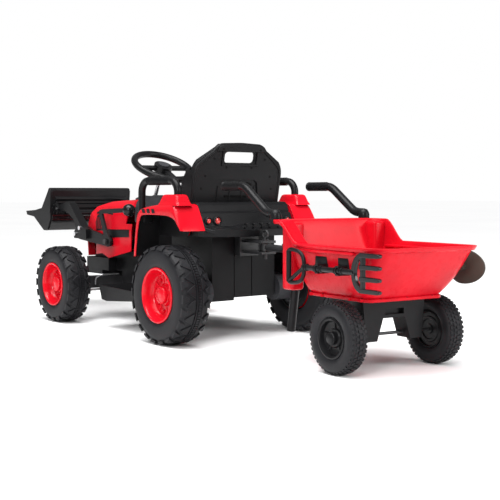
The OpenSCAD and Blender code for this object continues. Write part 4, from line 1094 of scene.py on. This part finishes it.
class CartTub(bpy.types.Operator):
    """Lofts the cart's stepped tub with its rolled rim, flange and ledges, with black blocks of painted shade in its
    pockets
    """

    bl_idname = "ride_tractor.cart_tub"
    bl_label = "Cart tub"

    def execute(self, context):
        build_tub()
        return {"FINISHED"}


class HandTools(bpy.types.Operator):
    """Makes the fork and the shovel that clip to the cart's sides"""

    bl_idname = "ride_tractor.hand_tools"
    bl_label = "Fork and shovel"

    def execute(self, context):
        build_tools()
        return {"FINISHED"}


class SeatDetails(bpy.types.Operator):
    """Adds the seat back's border, crown bar, screw holes and bolsters"""

    bl_idname = "ride_tractor.seat_details"
    bl_label = "Seat back"

    def execute(self, context):
        build_seat_details()
        return {"FINISHED"}


class TailDetails(bpy.types.Operator):
    """Makes the four round rear lamps and the edges of the deck and bumper"""

    bl_idname = "ride_tractor.tail_details"
    bl_label = "Tail"

    def execute(self, context):
        build_tail_details()
        return {"FINISHED"}


class FenderDetails(bpy.types.Operator):
    """Makes each fender's skin, black sheets of painted shade in its wheel arch, raised pad, rail foot and plain
    stripes
    """

    bl_idname = "ride_tractor.fender_details"
    bl_label = "Fenders"

    def execute(self, context):
        build_fender_details()
        return {"FINISHED"}


class HoodDetails(bpy.types.Operator):
    """Adds the hood's louvres, stripe and plain mark on both sides"""

    bl_idname = "ride_tractor.hood_details"
    bl_label = "Hood trim"

    def execute(self, context):
        build_hood_details()
        return {"FINISHED"}


class BucketDetails(bpy.types.Operator):
    """Adds the bucket's rails, horizontal roll, ribs and polished heel"""

    bl_idname = "ride_tractor.bucket_details"
    bl_label = "Bucket"

    def execute(self, context):
        build_bucket_details()
        return {"FINISHED"}


class FrontDetails(bpy.types.Operator):
    """Adds the zinc sleeves and rods at the front axle"""

    bl_idname = "ride_tractor.front_details"
    bl_label = "Front axle"

    def execute(self, context):
        build_front_details()
        return {"FINISHED"}


class Grips(bpy.types.Operator):
    """Adds the grips on the grab rails, and the cart's handle bars with their grips"""

    bl_idname = "ride_tractor.grips"
    bl_label = "Grips"

    def execute(self, context):
        build_grips(context.scene.ride_tractor)
        return {"FINISHED"}


class Stage(bpy.types.Operator):
    """Makes the finishes, the floor, the lights and the camera"""

    bl_idname = "ride_tractor.stage"
    bl_label = "Studio"

    def execute(self, context):
        FINISHES.update(build_finishes(context.scene.ride_tractor))
        build_stage(context.scene.ride_tractor)
        return {"FINISHED"}


STEPS = (Stage, PlainParts, TractorWheels, CartWheels, CartTub, HandTools, SeatDetails, TailDetails,
         FenderDetails, HoodDetails, BucketDetails, FrontDetails, Grips)


class TractorPanel(bpy.types.Panel):
    """Lists the sizes and the building steps"""

    bl_idname = "VIEW3D_PT_ride_tractor"
    bl_label = "Ride-on tractor"
    bl_space_type = "VIEW_3D"
    bl_region_type = "UI"
    bl_category = "Tractor"

    def draw(self, context):
        for name in TractorLook.__annotations__:
            self.layout.prop(context.scene.ride_tractor, name)
        for step in STEPS:
            self.layout.operator(step.bl_idname)


def register():
    for kind in (TractorLook, *STEPS, TractorPanel):
        bpy.utils.register_class(kind)
    bpy.types.Scene.ride_tractor = PointerProperty(type=TractorLook)


def unregister():
    del bpy.types.Scene.ride_tractor
    for kind in reversed((TractorLook, *STEPS, TractorPanel)):
        bpy.utils.unregister_class(kind)


def main():
    register()
    for step in STEPS:
        group, name = step.bl_idname.split(".")
        getattr(getattr(bpy.ops, group), name)()


if __name__ == "__main__":
    main()
